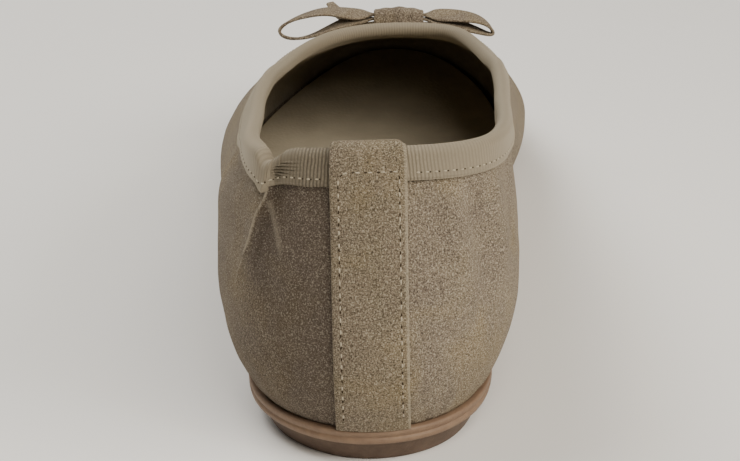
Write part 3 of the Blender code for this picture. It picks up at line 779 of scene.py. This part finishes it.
def pleat_lift(places, down):
    """Level pleats in the back's ribbon beside the lap."""
    near = smooth_step(places, LAP_TOP, LAP_TOP + 0.05)
    near = near * (1.0 - smooth_step(places, PLEAT_START_FADE, PLEAT_END))
    rows = smooth_step(down, 0.0003, 0.0009) * (1.0 - smooth_step(down, 0.0030, 0.0046))
    level = down + collar_dip(girth_at(places), 1.0)
    return PLEAT_HEIGHT * near * rows * np.sin(2 * math.pi * level / PLEAT_PITCH)


def wrap_path(off, outer_depth, inner_depth, outer_rows, turn_rows, inner_rows):
    """(distance down, offset, above) of a layer that runs up outside, over and down inside."""
    radius = WALL / 2 + off
    turn = np.linspace(0.0, math.pi, turn_rows)
    outside, inside = np.zeros(outer_rows - 1), np.zeros(inner_rows - 1)
    outer_down = np.linspace(outer_depth, 0.0, outer_rows)[:-1]
    inner_down = np.linspace(0.0, inner_depth, inner_rows)[1:]
    down = np.concatenate([outer_down, np.zeros(turn_rows), inner_down])
    over = radius * np.cos(turn) - WALL / 2
    offset = np.concatenate([outside + off, over, inside - WALL - off])
    return down, offset, np.concatenate([outside, radius * np.sin(turn), inside])


def binding_rings(wall):
    """Sections of the folded ribbon: its face from outside to inside, then its back."""
    places = wall.places[:, None]
    tip = TIP_DROP * bell(places, LAP_FOOT, TIP_REACH) * (places < LAP_FOOT + LAP_WIDTH)
    layers = []
    for is_face, rows in ((True, 44), (False, 12)):
        off = CLEARANCE + BINDING_THICKNESS * is_face
        grow = BINDING_EDGE_GROW * is_face
        down, offset, above = wrap_path(off, BINDING_DEPTH + grow, BINDING_TURN + grow, rows, 9, 8)
        outside = (offset > -WALL / 2)[None, :]
        rounded = BINDING_EDGE_FALL * (1 - smooth_step(down, BINDING_DEPTH, BINDING_DEPTH - 0.0006))
        lift = (band_lift(places, down) + pleat_lift(places, down) * is_face) * outside
        inward = np.clip(-offset / WALL, 0.0, 1.0)
        reach = np.where(places < SWELL_PLACE, SWELL_BEFORE, SWELL_AFTER)
        swell = FOLD_SWELL * bell(places, SWELL_PLACE, reach) * inward
        stretch = (tip - ribbon_narrow(places)) * np.clip(down / BINDING_DEPTH, 0.0, 1.0)
        lifted = offset + lift - swell - rounded * is_face
        layers.append(wall.below_top(down + stretch * outside, lifted, above[None, :]))
    return np.concatenate([layers[0], layers[1][:, ::-1]], 1)


loft(
    "topline_ribbon", binding_rings(binding_wall), True, GROSGRAIN,
    ["topline_binding"], around=topline_run,
)


# Back strip: a folded strip of the same suede that covers the back seam, runs over the binding
# and turns in. It is top-stitched about 1.8 mm from its sides, and across below the topline.
STRIP_WIDTH = 0.0162
STRIP_SHIFT = 0.0005
STRIP_THICKNESS = 0.0011
STRIP_TURN = 0.0085
STRIP_LAP = 0.0004
STRIP_EASE = 0.0060
STRIP_ROWS = 60
STRIP_EDGE = 0.45
STRIP_OVER = 2 * CLEARANCE + BINDING_THICKNESS
STRIP_WALL = Wall(np.linspace(-1.3, 1.3, 53))
STRIP_SUEDE = brushed_suede(
    "brushed_suede_strip", "6D6352", "7C6F5C", "40382D", "A49A86",
    rim_highlight_start=STRIP_WIDTH / 2 - 0.0002,
)


def strip_lift(wall, up):
    """How far the strip's back lies off the suede, this far up the wall: more over the ribbon."""
    below = wall.length - up - BINDING_DEPTH - STRIP_LAP
    return STRIP_OVER - (CLEARANCE + BINDING_THICKNESS) * smooth_step(below, 0.0, STRIP_EASE)


def places_across(up, across):
    """Places of the wall that lie this far across the strip's face, this far up the wall."""
    lift = strip_lift(STRIP_WALL, up) + STRIP_THICKNESS
    points, _, _ = STRIP_WALL.at(up[:, None], lift[:, None], creased=False)
    return np.interp(STRIP_SHIFT + across, points[:, 0, 0], STRIP_WALL.places)


def strip_sheet(shares, off):
    """Points of the strip, from the sole up over the topline and in: (row, across, 3)."""
    sheet = []
    across = shares * STRIP_WIDTH / 2
    for down_share in np.linspace(1.0, 0.0, STRIP_ROWS):
        up = STRIP_WALL.length - down_share * (STRIP_WALL.length - CLEARANCE)
        wall = Wall(places_across(up, across))
        up = wall.length - down_share * (wall.length - CLEARANCE)
        sheet.append(wall.at(up[:, None], strip_lift(wall, up)[:, None] + off)[0][:, 0])
    down, offset, above = wrap_path(STRIP_OVER + off, 0.0, STRIP_TURN, 1, 11, 9)
    top = wall.below_top(down, offset[None, :], above[None, :])
    return np.concatenate([np.array(sheet[:-1]), np.swapaxes(top, 0, 1)])


def strip_rings():
    """Closed cross-sections: the face with its rolled edges, then the back."""
    turn = np.linspace(0.0, math.pi / 2, 5)
    reach = 1.0 - 2 * STRIP_EDGE * STRIP_THICKNESS / STRIP_WIDTH
    left = -reach - (1 - reach) * np.cos(turn)
    face = np.concatenate([left, np.linspace(-reach, reach, 15)[1:-1], -left[::-1]])
    lift = np.concatenate([np.sin(turn), np.ones(13), np.sin(turn)[::-1]])
    back = strip_sheet(face[::-1], 0.0)
    front = strip_sheet(face, STRIP_THICKNESS)
    thick = np.broadcast_to(STRIP_EDGE + (1 - STRIP_EDGE) * lift, front.shape[:2]).copy()
    # the right edge is pared thin where the strip turns over the topline
    top_rows = smooth_step(np.arange(len(front)), STRIP_ROWS - 3, STRIP_ROWS + 2)
    thick *= 1.0 - 0.85 * np.outer(top_rows, smooth_step(face, 0.84, 0.97))
    raised = back[:, ::-1] + (front - back[:, ::-1]) * thick[..., None]
    return np.concatenate([raised, back], 1)


loft("back_strip_suede", strip_rings(), False, STRIP_SUEDE, ["back_strip"])


# Stitches: pale waxed thread in short lockstitches, one row up, across and down the back strip
# and one round the binding. Each stitch sinks into its needle holes at both ends.
STITCH_THICKNESS = 0.00036
STITCH_RISE = 0.42
STITCH_SINK = 0.45
HOLE_WIDTH = 0.00040
HOLE_SINK = 0.00012
HOLE_RISE = 0.00004
# Pitch of each row, and how long its threads and holes are.
STRIP_PITCH, STRIP_THREAD, STRIP_HOLE = 0.0026, 0.0011, 0.0009
SEAM_PITCH, SEAM_THREAD, SEAM_HOLE = 0.0019, 0.0009, 0.0005
# The ribbon's row starts and ends beside the back strip. That of the strip runs along it at
# these distances from its middle and up the wall.
SEAM_START, SEAM_END = 0.62, 19.42
STRIP_SEAM_RIGHT = 0.0064
STRIP_SEAM_LEFT = -0.0062
STRIP_SEAM_FOOT = 0.0035
STRIP_SEAM_TOP = 0.0579
STRIP_SEAM_CORNER = 0.0022
# Polyester sewing thread, waxed: pale, with a slight gloss, its twist too fine to show.
SEWING_THREAD = mottled(
    "waxed_sewing_thread", ("8C816C", "C2B7A1"), {"Scale": 2600.0, "Detail": 2.0}, (0.0, 1.0),
    ("TexNoise", {"Scale": 2600.0, "Detail": 2.0}, 0.4, 0.0001),
    Roughness=0.55, IOR=1.5, Specular_IOR_Level=0.4,
)
# The shadow in a needle hole: very dark and dull suede.
HOLE_SHADOW = mottled(
    "needle_hole_shadow", ("2A231C", "453A2E"), {"Scale": 2600.0, "Detail": 2.0}, (0.0, 1.0),
    Roughness=1.0, IOR=1.45, Specular_IOR_Level=0.1,
)


def tube_faces(base, count, size):
    """Faces of a capped tube of count rings of size points, numbered up from base."""
    faces = [tuple(base + m for m in range(size))[::-1]]
    for start in range(base, base + (count - 1) * size, size):
        for m in range(size):
            n = (m + 1) % size
            faces.append((start + m, start + n, start + size + n, start + size + m))
    return faces + [tuple(base + (count - 1) * size + m for m in range(size))]


def stitch_row(name, path, normals, pitch, length, gap):
    """Stitches along a path that lies on the surface, with the drawn-in holes between them."""
    runs = runs_along(path)
    count = int(runs[-1] / pitch)
    threads, thread_faces, holes, hole_faces = [], [], [], []

    def spot(run):
        """(point, way out, way along, way across) at this distance along the path."""
        point, ahead, out = [
            np.array([np.interp(at, runs, values[:, a]) for a in range(3)])
            for at, values in ((run, path), (run + 0.0002, path), (run, normals))
        ]
        out = unit(out)
        way = ahead - point
        way = unit(way - out * way.dot(out))
        return point, out, way, np.cross(out, way)

    for k in range(count):
        start = (k + 0.5) * runs[-1] / count - length / 2
        thread_faces += tube_faces(len(threads) * 8, 9, 8)
        turn = np.arange(8) * math.pi / 4
        for share in np.linspace(0.0, 1.0, 9):
            point, out, _, side = spot(start + share * length)
            bow = math.sin(math.pi * share)
            radius = STITCH_THICKNESS / 2 * (0.45 + 0.55 * bow**0.5)
            middle = point + out * STITCH_THICKNESS * (STITCH_RISE * bow**0.7 - STITCH_SINK)
            circle = np.outer(np.cos(turn), side) + np.outer(np.sin(turn), out)
            threads.append(middle + radius * circle)
        hole_faces += tube_faces(len(holes) * 10, 2, 10)
        turn = np.arange(10) * math.pi / 5
        point, out, way, side = spot(start + length + gap * 0.4)
        oval = np.outer(np.cos(turn) * gap / 2, way) + np.outer(np.sin(turn) * HOLE_WIDTH / 2, side)
        holes += [point - out * HOLE_SINK + oval, point + out * HOLE_RISE + oval * 0.8]
    add_piece(name, threads, thread_faces, SEWING_THREAD, [])
    add_piece(name + "_holes", holes, hole_faces, HOLE_SHADOW, [])


def strip_surface(across, up):
    """(point, way out) on the strip's face at this distance across it and up the wall."""
    wall = Wall([places_across(np.full(len(STRIP_WALL.places), up), across)])
    spot, _, out = wall.at(np.array([[up]]), strip_lift(wall, up)[:, None] + STRIP_THICKNESS)
    return spot[0, 0], out[0, 0]


# Up the right side, across under the topline, round the left corner and down the left side.
turn = np.linspace(0.0, math.pi / 2, 8)[1:]
top = STRIP_SEAM_TOP
corner_side = STRIP_SEAM_LEFT + STRIP_SEAM_CORNER
steps = [(STRIP_SEAM_RIGHT, run) for run in np.linspace(STRIP_SEAM_FOOT, top - 0.0006, 40)]
steps += [(STRIP_SEAM_RIGHT - 0.0006, top)]
steps += [(across, top) for across in np.linspace(STRIP_SEAM_RIGHT - 0.0012, corner_side, 12)]
steps += [
    (corner_side - STRIP_SEAM_CORNER * math.sin(a), top + STRIP_SEAM_CORNER * (math.cos(a) - 1))
    for a in turn
]
left_top = top - STRIP_SEAM_CORNER - 0.001
steps += [(STRIP_SEAM_LEFT, run) for run in np.linspace(left_top, STRIP_SEAM_FOOT, 40)]
path, outward = np.swapaxes([strip_surface(across, run) for across, run in steps], 0, 1)
stitch_row(
    "back_strip_stitches", path, outward, STRIP_PITCH, STRIP_THREAD, STRIP_HOLE,
)

places = np.linspace(SEAM_START, SEAM_END, 900)
seam_wall = Wall(places)
seam_down = (BINDING_DEPTH - SEAM_ABOVE - ribbon_narrow(places))[:, None]
seam_lift = CLEARANCE + BINDING_THICKNESS + band_lift(places[:, None], seam_down)
seam_points, _, seam_out = seam_wall.at(seam_wall.length[:, None] - seam_down, seam_lift)
stitch_row(
    "topline_stitches", seam_points[:, 0], seam_out[:, 0], SEAM_PITCH,
    SEAM_THREAD, SEAM_HOLE,
)


# Insole: a fibre board over the lasting margin, covered with the lining leather, with a soft
# rounded edge against the wall.
INSOLE_THICKNESS = 0.0028
INSOLE_ROUND = 0.0007
INSOLE_EASE = 0.0010
FILLER_EASE = 0.0006
SOLE_STATIONS = 400


def sole_ring(wall, out, height):
    """The outline where upper and sole meet, widened by out, at height above the sole's top."""
    foot = wall.lines[:, 0]
    ring = foot + plan_normals(foot) * out
    ring[:, 2] = sole_top(foot[:, 1] + HEEL_CENTRE) + height
    return ring


def ladder(count, start):
    """Faces that close a ring of points, joining each point to the one across from it."""
    half = count // 2
    faces = [(start, start + 1, start + count - 1)]
    for k in range(1, half - 1):
        faces.append((start + k, start + k + 1, start + count - k - 1, start + count - k))
    faces.append((start + half - 1, start + half, start + half + 1))
    return faces


def ring_stack(name, rings, finish, nodes, sharp):
    """A solid through outlines stacked from the top one to the bottom one."""
    count = len(rings[0])
    faces = tube_faces(0, len(rings), count)[1:-1] + ladder(count, (len(rings) - 1) * count)
    faces += [face[::-1] for face in ladder(count, 0)]
    return add_piece(name, rings[::-1], faces, finish, nodes, sharp)


# Insole cover of the same split leather, polished a little by the last.
INSOLE_LEATHER = mottled(
    "smoothed_insole_leather", ("ADA38F", "BAB09B"), {"Scale": 90.0, "Detail": 5.0, "Roughness": 0.6},
    (0.35, 0.65), ("TexVoronoi", {"Scale": 1100.0}, 0.25, 0.0002),
    Roughness=0.7, IOR=1.45, Specular_IOR_Level=0.4,
)
sole_wall = Wall(np.arange(SOLE_STATIONS) * len(SECTIONS) / SOLE_STATIONS)
seat = CLEARANCE + WALL + CLEARANCE
inset = -(WALL + INSOLE_EASE)
filler = -(LASTING_MARGIN + FILLER_EASE)
insole_rings = [
    sole_ring(
        sole_wall, inset - INSOLE_ROUND * (1 - math.cos(turn)),
        seat + INSOLE_THICKNESS - INSOLE_ROUND * (1 - math.sin(turn)),
    )
    for turn in np.linspace(math.pi / 2, 0.0, 6)
]
for out, height in ((inset, seat), (filler, seat), (filler, CLEARANCE)):
    insole_rings.append(sole_ring(sole_wall, out, height))
ring_stack("insole_cover", insole_rings, INSOLE_LEATHER, ["insole"], 40)


# Outsole: thin moulded rubber cemented to the margin. Its edge has a bead along the top, a
# groove under it and a thin lower bead.
SOLE_PROUD = 0.0013
EDGE_PROFILE = (
    # out as a share of how far the edge stands proud, down as a share of the thickness
    (-1.20, 0.00), (0.10, 0.00), (0.60, 0.00), (0.84, 0.03), (0.97, 0.10), (1.00, 0.18),
    (0.98, 0.28), (0.90, 0.38), (0.74, 0.46), (0.68, 0.52), (0.74, 0.58), (0.88, 0.64),
    (0.93, 0.72), (0.92, 0.82), (0.84, 0.93), (0.70, 0.985), (0.60, 1.00),
)


def moulded_rubber(name, dark, light, roughness):
    """Synthetic rubber, moulded with a fine spark texture: satin, with dust in its grain. The
    grain is about 0.1 mm, drawn at 0.5 mm so that it shows.
    """
    return mottled(
        name, (dark, light), {"Scale": 300.0, "Detail": 5.0, "Roughness": 0.65}, (0.32, 0.68),
        ("TexNoise", {"Scale": 2000.0, "Detail": 3.0}, 0.3, 0.0002),
        Roughness=roughness, IOR=1.52, Specular_IOR_Level=0.4,
    )


SOLE_RUBBER = moulded_rubber("moulded_sole_rubber", "735C4A", "856D57", 0.58)
outsole_rings = [
    sole_ring(sole_wall, out * SOLE_PROUD, -down * SOLE_THICKNESS) for out, down in EDGE_PROFILE
]
ring_stack("outsole_rubber", outsole_rings, SOLE_RUBBER, ["outsole"], 70)


# Heel lift: a low top piece of darker, harder rubber, cemented under the heel, drawn in towards
# the floor and cut straight across in front.
LIFT_RECESS = 0.0015
LIFT_DRAFT = 0.0026
LIFT_PROFILE = (
    # recess as a share of the draft, height as a share of the lift's
    (1.02, 0.00), (0.92, 0.03), (0.82, 0.12), (0.45, 0.50), (0.10, 0.90), (0.02, 0.97), (0.10, 1.00),
)
LIFT_RUBBER = moulded_rubber("moulded_lift_rubber", "514034", "625042", 0.7)


def lift_ring(recess, height):
    """The heel's outline, recessed, cut off by the breast, at this height over the floor."""
    foot = Wall(np.linspace(-3.6, 3.6, 900)).lines[:, 0]
    outline = foot + level_normals(np.gradient(foot, axis=0)) * (SOLE_PROUD - LIFT_RECESS - recess)
    front = LIFT_LENGTH - HEEL_CENTRE
    inside = outline[outline[:, 1] <= front]
    runs = runs_along(inside)
    even = np.linspace(0.0, runs[-1], 121)
    ring = np.stack([np.interp(even, runs, inside[:, a]) for a in range(3)], 1)
    ring[0, 1] = ring[-1, 1] = front
    ring = np.concatenate([ring, np.linspace(ring[-1], ring[0], 25)[1:-1]])
    ring[:, 2] = height
    return ring


lift_rings = [lift_ring(recess * LIFT_DRAFT, height * LIFT_HEIGHT) for recess, height in LIFT_PROFILE]
add_piece(
    "heel_lift_rubber", lift_rings, tube_faces(0, len(lift_rings), len(lift_rings[0])),
    LIFT_RUBBER, ["heel_lift"],
)


# Bow: one flat strap of folded suede for the loops, a second for the tails, and a third piece
# wrapped round both as the knot, tacked to the vamp just in front of the throat.
STRAP_WIDTH = 0.0068
STRAP_THICKNESS = 0.0008
KNOT_WIDTH = 0.0135
KNOT_BULGE = 0.0006
KNOT_GATHERS = 0.00022
BOW_SETBACK = 0.0135
BOW_SHIFT = -0.0018
LOOP_LENGTH = 0.0310
LOOP_HEIGHT = 0.0068
TAIL_LENGTH = 0.0270
KNOT_SHARE = 0.62
LOOP_COLUMNS = ("across", "up", "level", "width", "tilt")
LOOPS = (
    # the left loop, seen from behind, from the upper strand round its end and back under
    (-0.08, 0.00, 1.0, 0.62, 0), (-0.215, 0.00, 1.0, 0.68, 3), (-0.30, 0.00, 1.0, 0.86, 22),
    (-0.42, 0.02, 1.0, 1.00, 28), (-0.62, 0.10, 1.0, 1.00, 20), (-0.80, -0.02, 0.9, 1.00, 12),
    (-0.95, -0.22, 0.6, 1.00, 4), (-1.05, -0.55, 0.3, 1.00, 0), (-0.98, -0.82, 0.1, 1.00, 0),
    (-0.80, -0.76, 0.0, 1.00, 5), (-0.60, -0.40, 0.0, 1.00, 16), (-0.42, -0.10, 0.0, 0.96, 26),
    (-0.30, -0.02, 0.0, 0.84, 20), (-0.215, 0.00, 0.0, 0.68, 3), (-0.08, 0.00, 0.0, 0.62, 0),
    # then the right loop, from under the knot and back over
    (0.08, 0.00, 0.0, 0.62, 0), (0.215, 0.00, 0.0, 0.68, 3), (0.30, -0.03, 0.0, 0.84, 20),
    (0.42, -0.12, 0.0, 0.96, 26), (0.64, -0.36, 0.0, 1.00, 20), (0.82, -0.62, 0.25, 1.00, 6),
    (0.80, -0.34, 0.5, 1.00, 10), (0.65, -0.08, 0.9, 1.00, 24), (0.42, 0.00, 1.0, 1.00, 30),
    (0.30, 0.00, 1.0, 0.86, 24), (0.215, 0.00, 1.0, 0.68, 3), (0.08, 0.00, 1.0, 0.62, 0),
)
TAIL_COLUMNS = ("across", "ahead", "up", "width", "tilt")
TAILS = (
    (-0.70, 0.44, 0.86, 0.50, 36), (-0.58, 0.38, 0.34, 1.00, 26), (-0.42, 0.22, -0.10, 0.90, 4),
    (-0.27, 0.00, -0.02, 0.62, 0), (0.00, 0.00, 0.00, 0.62, 0), (0.27, 0.00, -0.02, 0.62, 0),
    (0.42, 0.22, -0.12, 0.90, 0), (0.56, 0.38, -0.30, 1.00, 0), (0.78, 0.50, -0.60, 0.90, 0),
)
BOW_SUEDE = brushed_suede("brushed_suede_strap", "6B5F52", "7F7362", "453B32", "A69A86")


throat = Wall([TOE_ROW])
throat_seat, throat_up, throat_out = throat.at(throat.length[:, None] - BOW_SETBACK, creased=False)
ahead = -throat_up[0, 0]
above = throat_out[0, 0]
across = np.cross(ahead, above)
level = STRAP_THICKNESS + CLEARANCE
half_height = STRAP_THICKNESS + level + CLEARANCE
half_depth = KNOT_SHARE / 2 * STRAP_WIDTH + 2 * CLEARANCE + STRAP_THICKNESS
bow_rise = half_height + STRAP_THICKNESS / 2 + CLEARANCE
bow_centre = throat_seat[0, 0] + across * BOW_SHIFT + above * bow_rise


def strap_rings(path, row, closed):
    """Rounded flat cross-sections of a strap along a path, with its widths and tilts by row."""
    way = np.roll(path, -1, 0) - np.roll(path, 1, 0) if closed else np.gradient(path, axis=0)
    way = unit(way)
    lean = np.radians(row["tilt"])
    sides = np.outer(np.cos(lean), ahead) + np.outer(np.sin(lean), above)
    flat = unit(sides - way * (way * sides).sum(1)[:, None])
    thick = np.cross(way, flat)
    radius = STRAP_THICKNESS / 2
    turn = np.linspace(-math.pi / 2, math.pi / 2, 6)
    rings = []
    for k in range(len(path)):
        half = row["width"][k] * STRAP_WIDTH / 2 - radius
        section = []
        for sign in (1.0, -1.0):
            section += [
                (sign * (half + radius * math.cos(a)), sign * radius * math.sin(a)) for a in turn
            ]
            section += [(x, sign * radius) for x in np.linspace(sign * half, -sign * half, 7)[1:-1]]
        section = np.array(section)
        rings.append(path[k] + np.outer(section[:, 0], flat[k]) + np.outer(section[:, 1], thick[k]))
    return np.array(rings)


row = dict(zip(LOOP_COLUMNS, closed_curve(LOOPS, np.arange(0, len(LOOPS), 0.1)).T))
loop_path = bow_centre + np.outer(row["across"] * LOOP_LENGTH, across)
loop_path = loop_path + np.outer(row["up"] * LOOP_HEIGHT + row["level"] * level, above)
loop_rings = strap_rings(loop_path, row, True)
loft("bow_loop_strap", loop_rings, True, BOW_SUEDE, ["bow_loops"])

row = dict(zip(TAIL_COLUMNS, open_curve(TAILS, np.linspace(0, len(TAILS) - 1, 90)).T))
tail_path = bow_centre + np.outer(row["across"] * TAIL_LENGTH, across)
tail_path = tail_path + np.outer(row["ahead"] * TAIL_LENGTH, ahead)
tail_path = tail_path + np.outer(row["up"] * LOOP_HEIGHT - level, above)
tail_rings = strap_rings(tail_path, row, False)
loft("bow_tail_strap", tail_rings, False, BOW_SUEDE, ["bow_tails"])


def knot_rings():
    """The knot's strap round all the strands, bulging on top, with soft gathers along the wrap."""
    turn = np.linspace(0.0, 2 * math.pi, 97)[:-1]
    square = (np.cos(turn) ** 4 + np.sin(turn) ** 4) ** (-1 / 4)
    path = bow_centre + np.outer(half_depth * np.cos(turn) * square, ahead)
    path = path + np.outer(half_height * np.sin(turn) * square, above)
    way = np.roll(path, -1, 0) - np.roll(path, 1, 0)
    outward = np.cross(way, across)
    outward = unit(outward * np.sign((outward * (path - bow_centre)).sum(1))[:, None])
    share = np.linspace(-1.0, 1.0, 41)
    bulge = KNOT_BULGE * np.outer(np.maximum(np.sin(turn), 0.0), 1.0 - share**2)
    edge = np.clip((np.abs(share) - 0.90) / 0.10, 0.0, 1.0)
    half = STRAP_THICKNESS / 2 * np.sqrt(1.0 - edge**2)
    lean = share[None, :] + 0.05 * np.sin(turn)[:, None]
    gathers = KNOT_GATHERS * np.sin(7.5 * lean + 0.8) * np.cos(3.1 * lean) * (1 - edge)
    middle = path[:, None] + across * (share * KNOT_WIDTH / 2)[:, None] + above * bulge[..., None]
    outer = middle + outward[:, None] * (half + gathers)[..., None]
    inner = middle - outward[:, None] * half[None, :, None]
    return np.concatenate([outer, inner[:, ::-1]], 1)


loft("bow_knot_wrap", knot_rings(), True, BOW_SUEDE, ["bow_knot"])


# Floor: a plain pale matte sheet of studio paper, which isn't part of the shoe.
floor_mesh = bpy.data.meshes.new("studio_floor")
floor_mesh.from_pydata([(-3, -3, 0), (3, -3, 0), (3, 3, 0), (-3, 3, 0)], [], [(0, 1, 2, 3)])
floor_mesh.materials.append(mottled(
    "matte_studio_paper", ("ECEAE6", "F3F1EE"), {"Scale": 6.0, "Detail": 2.0}, (0.0, 1.0),
    Roughness=0.9, Specular_IOR_Level=0.2,
))
floor = placed("studio_floor", floor_mesh)


# Lights: three broad soft boxes in a pale room: the key to the right of the heel, one over the
# heel to the right, and a fill over the toe from the left.
for name, location, aim, size, power, tint in (
    ("key_soft_box", (0.92, -0.38, 0.66), (0.0, 0.04, 0.03), 0.6, 9.4, "FFF8EC"),
    ("overhead_soft_box", (0.33, -0.59, 0.81), (0.0, 0.14, 0.03), 0.7, 8.2, "FFF8EC"),
    ("fill_soft_box", (-0.50, 0.36, 0.98), (0.0, 0.02, 0.03), 0.7, 11.5, "FFFDF8"),
):
    lamp = bpy.data.lights.new(name, "AREA")
    lamp.shape = "SQUARE"
    lamp.size = size
    lamp.energy = power
    lamp.color = colour(tint)[:3]
    soft_box = placed(name, lamp)
    soft_box.location = location
    soft_box.rotation_mode = "QUATERNION"
    soft_box.rotation_quaternion = (Vector(aim) - Vector(location)).to_track_quat("-Z", "Y")
room = bpy.data.worlds.new("pale_room")
room.use_nodes = True
room.node_tree.nodes["Background"].inputs["Color"].default_value = colour("F2F1EF")
room.node_tree.nodes["Background"].inputs["Strength"].default_value = 0.07
bpy.context.scene.world = room


# Camera: behind the heel, a little above it and almost square to it, as the photograph shows.
# The picture is 740 x 461, and the point the camera was fitted to falls at AIM_PIXEL in it.
IMAGE_WIDTH = 740
IMAGE_HEIGHT = 461
FOCAL_PIXELS = 2520.0
SENSOR = 36.0
AIM_PIXEL = (368.5, 314.0)
AIM_POINT = Vector((0.0, -0.026, 0.035))
CAMERA_BACK = 0.480
CAMERA_HEIGHT = 0.245
CAMERA_TURN = math.radians(1.5)
CAMERA_ROLL = math.radians(-1.3)

eye = Vector((
    AIM_POINT.x + math.sin(CAMERA_TURN) * CAMERA_BACK,
    AIM_POINT.y - math.cos(CAMERA_TURN) * CAMERA_BACK,
    CAMERA_HEIGHT,
))
forward = (AIM_POINT - eye).normalized()
level_right = forward.cross(Vector((0.0, 0.0, 1.0))).normalized()
level_up = level_right.cross(forward)
right = level_right * math.cos(CAMERA_ROLL) + level_up * math.sin(CAMERA_ROLL)
upward = level_up * math.cos(CAMERA_ROLL) - level_right * math.sin(CAMERA_ROLL)
middle = forward + right * ((IMAGE_WIDTH / 2 - AIM_PIXEL[0]) / FOCAL_PIXELS)
middle = (middle + upward * ((AIM_PIXEL[1] - IMAGE_HEIGHT / 2) / FOCAL_PIXELS)).normalized()
right = (right - middle * right.dot(middle)).normalized()
upward = right.cross(middle)
lens = bpy.data.cameras.new("studio_camera")
lens.sensor_width = SENSOR
lens.lens = FOCAL_PIXELS / IMAGE_WIDTH * SENSOR
lens.clip_start = 0.01
lens.clip_end = 20.0
camera = bpy.data.objects.new("studio_camera", lens)
camera.matrix_world = Matrix((
    (right.x, upward.x, -middle.x, eye.x),
    (right.y, upward.y, -middle.y, eye.y),
    (right.z, upward.z, -middle.z, eye.z),
    (0.0, 0.0, 0.0, 1.0),
))
bpy.context.scene.collection.objects.link(camera)
bpy.context.scene.camera = camera
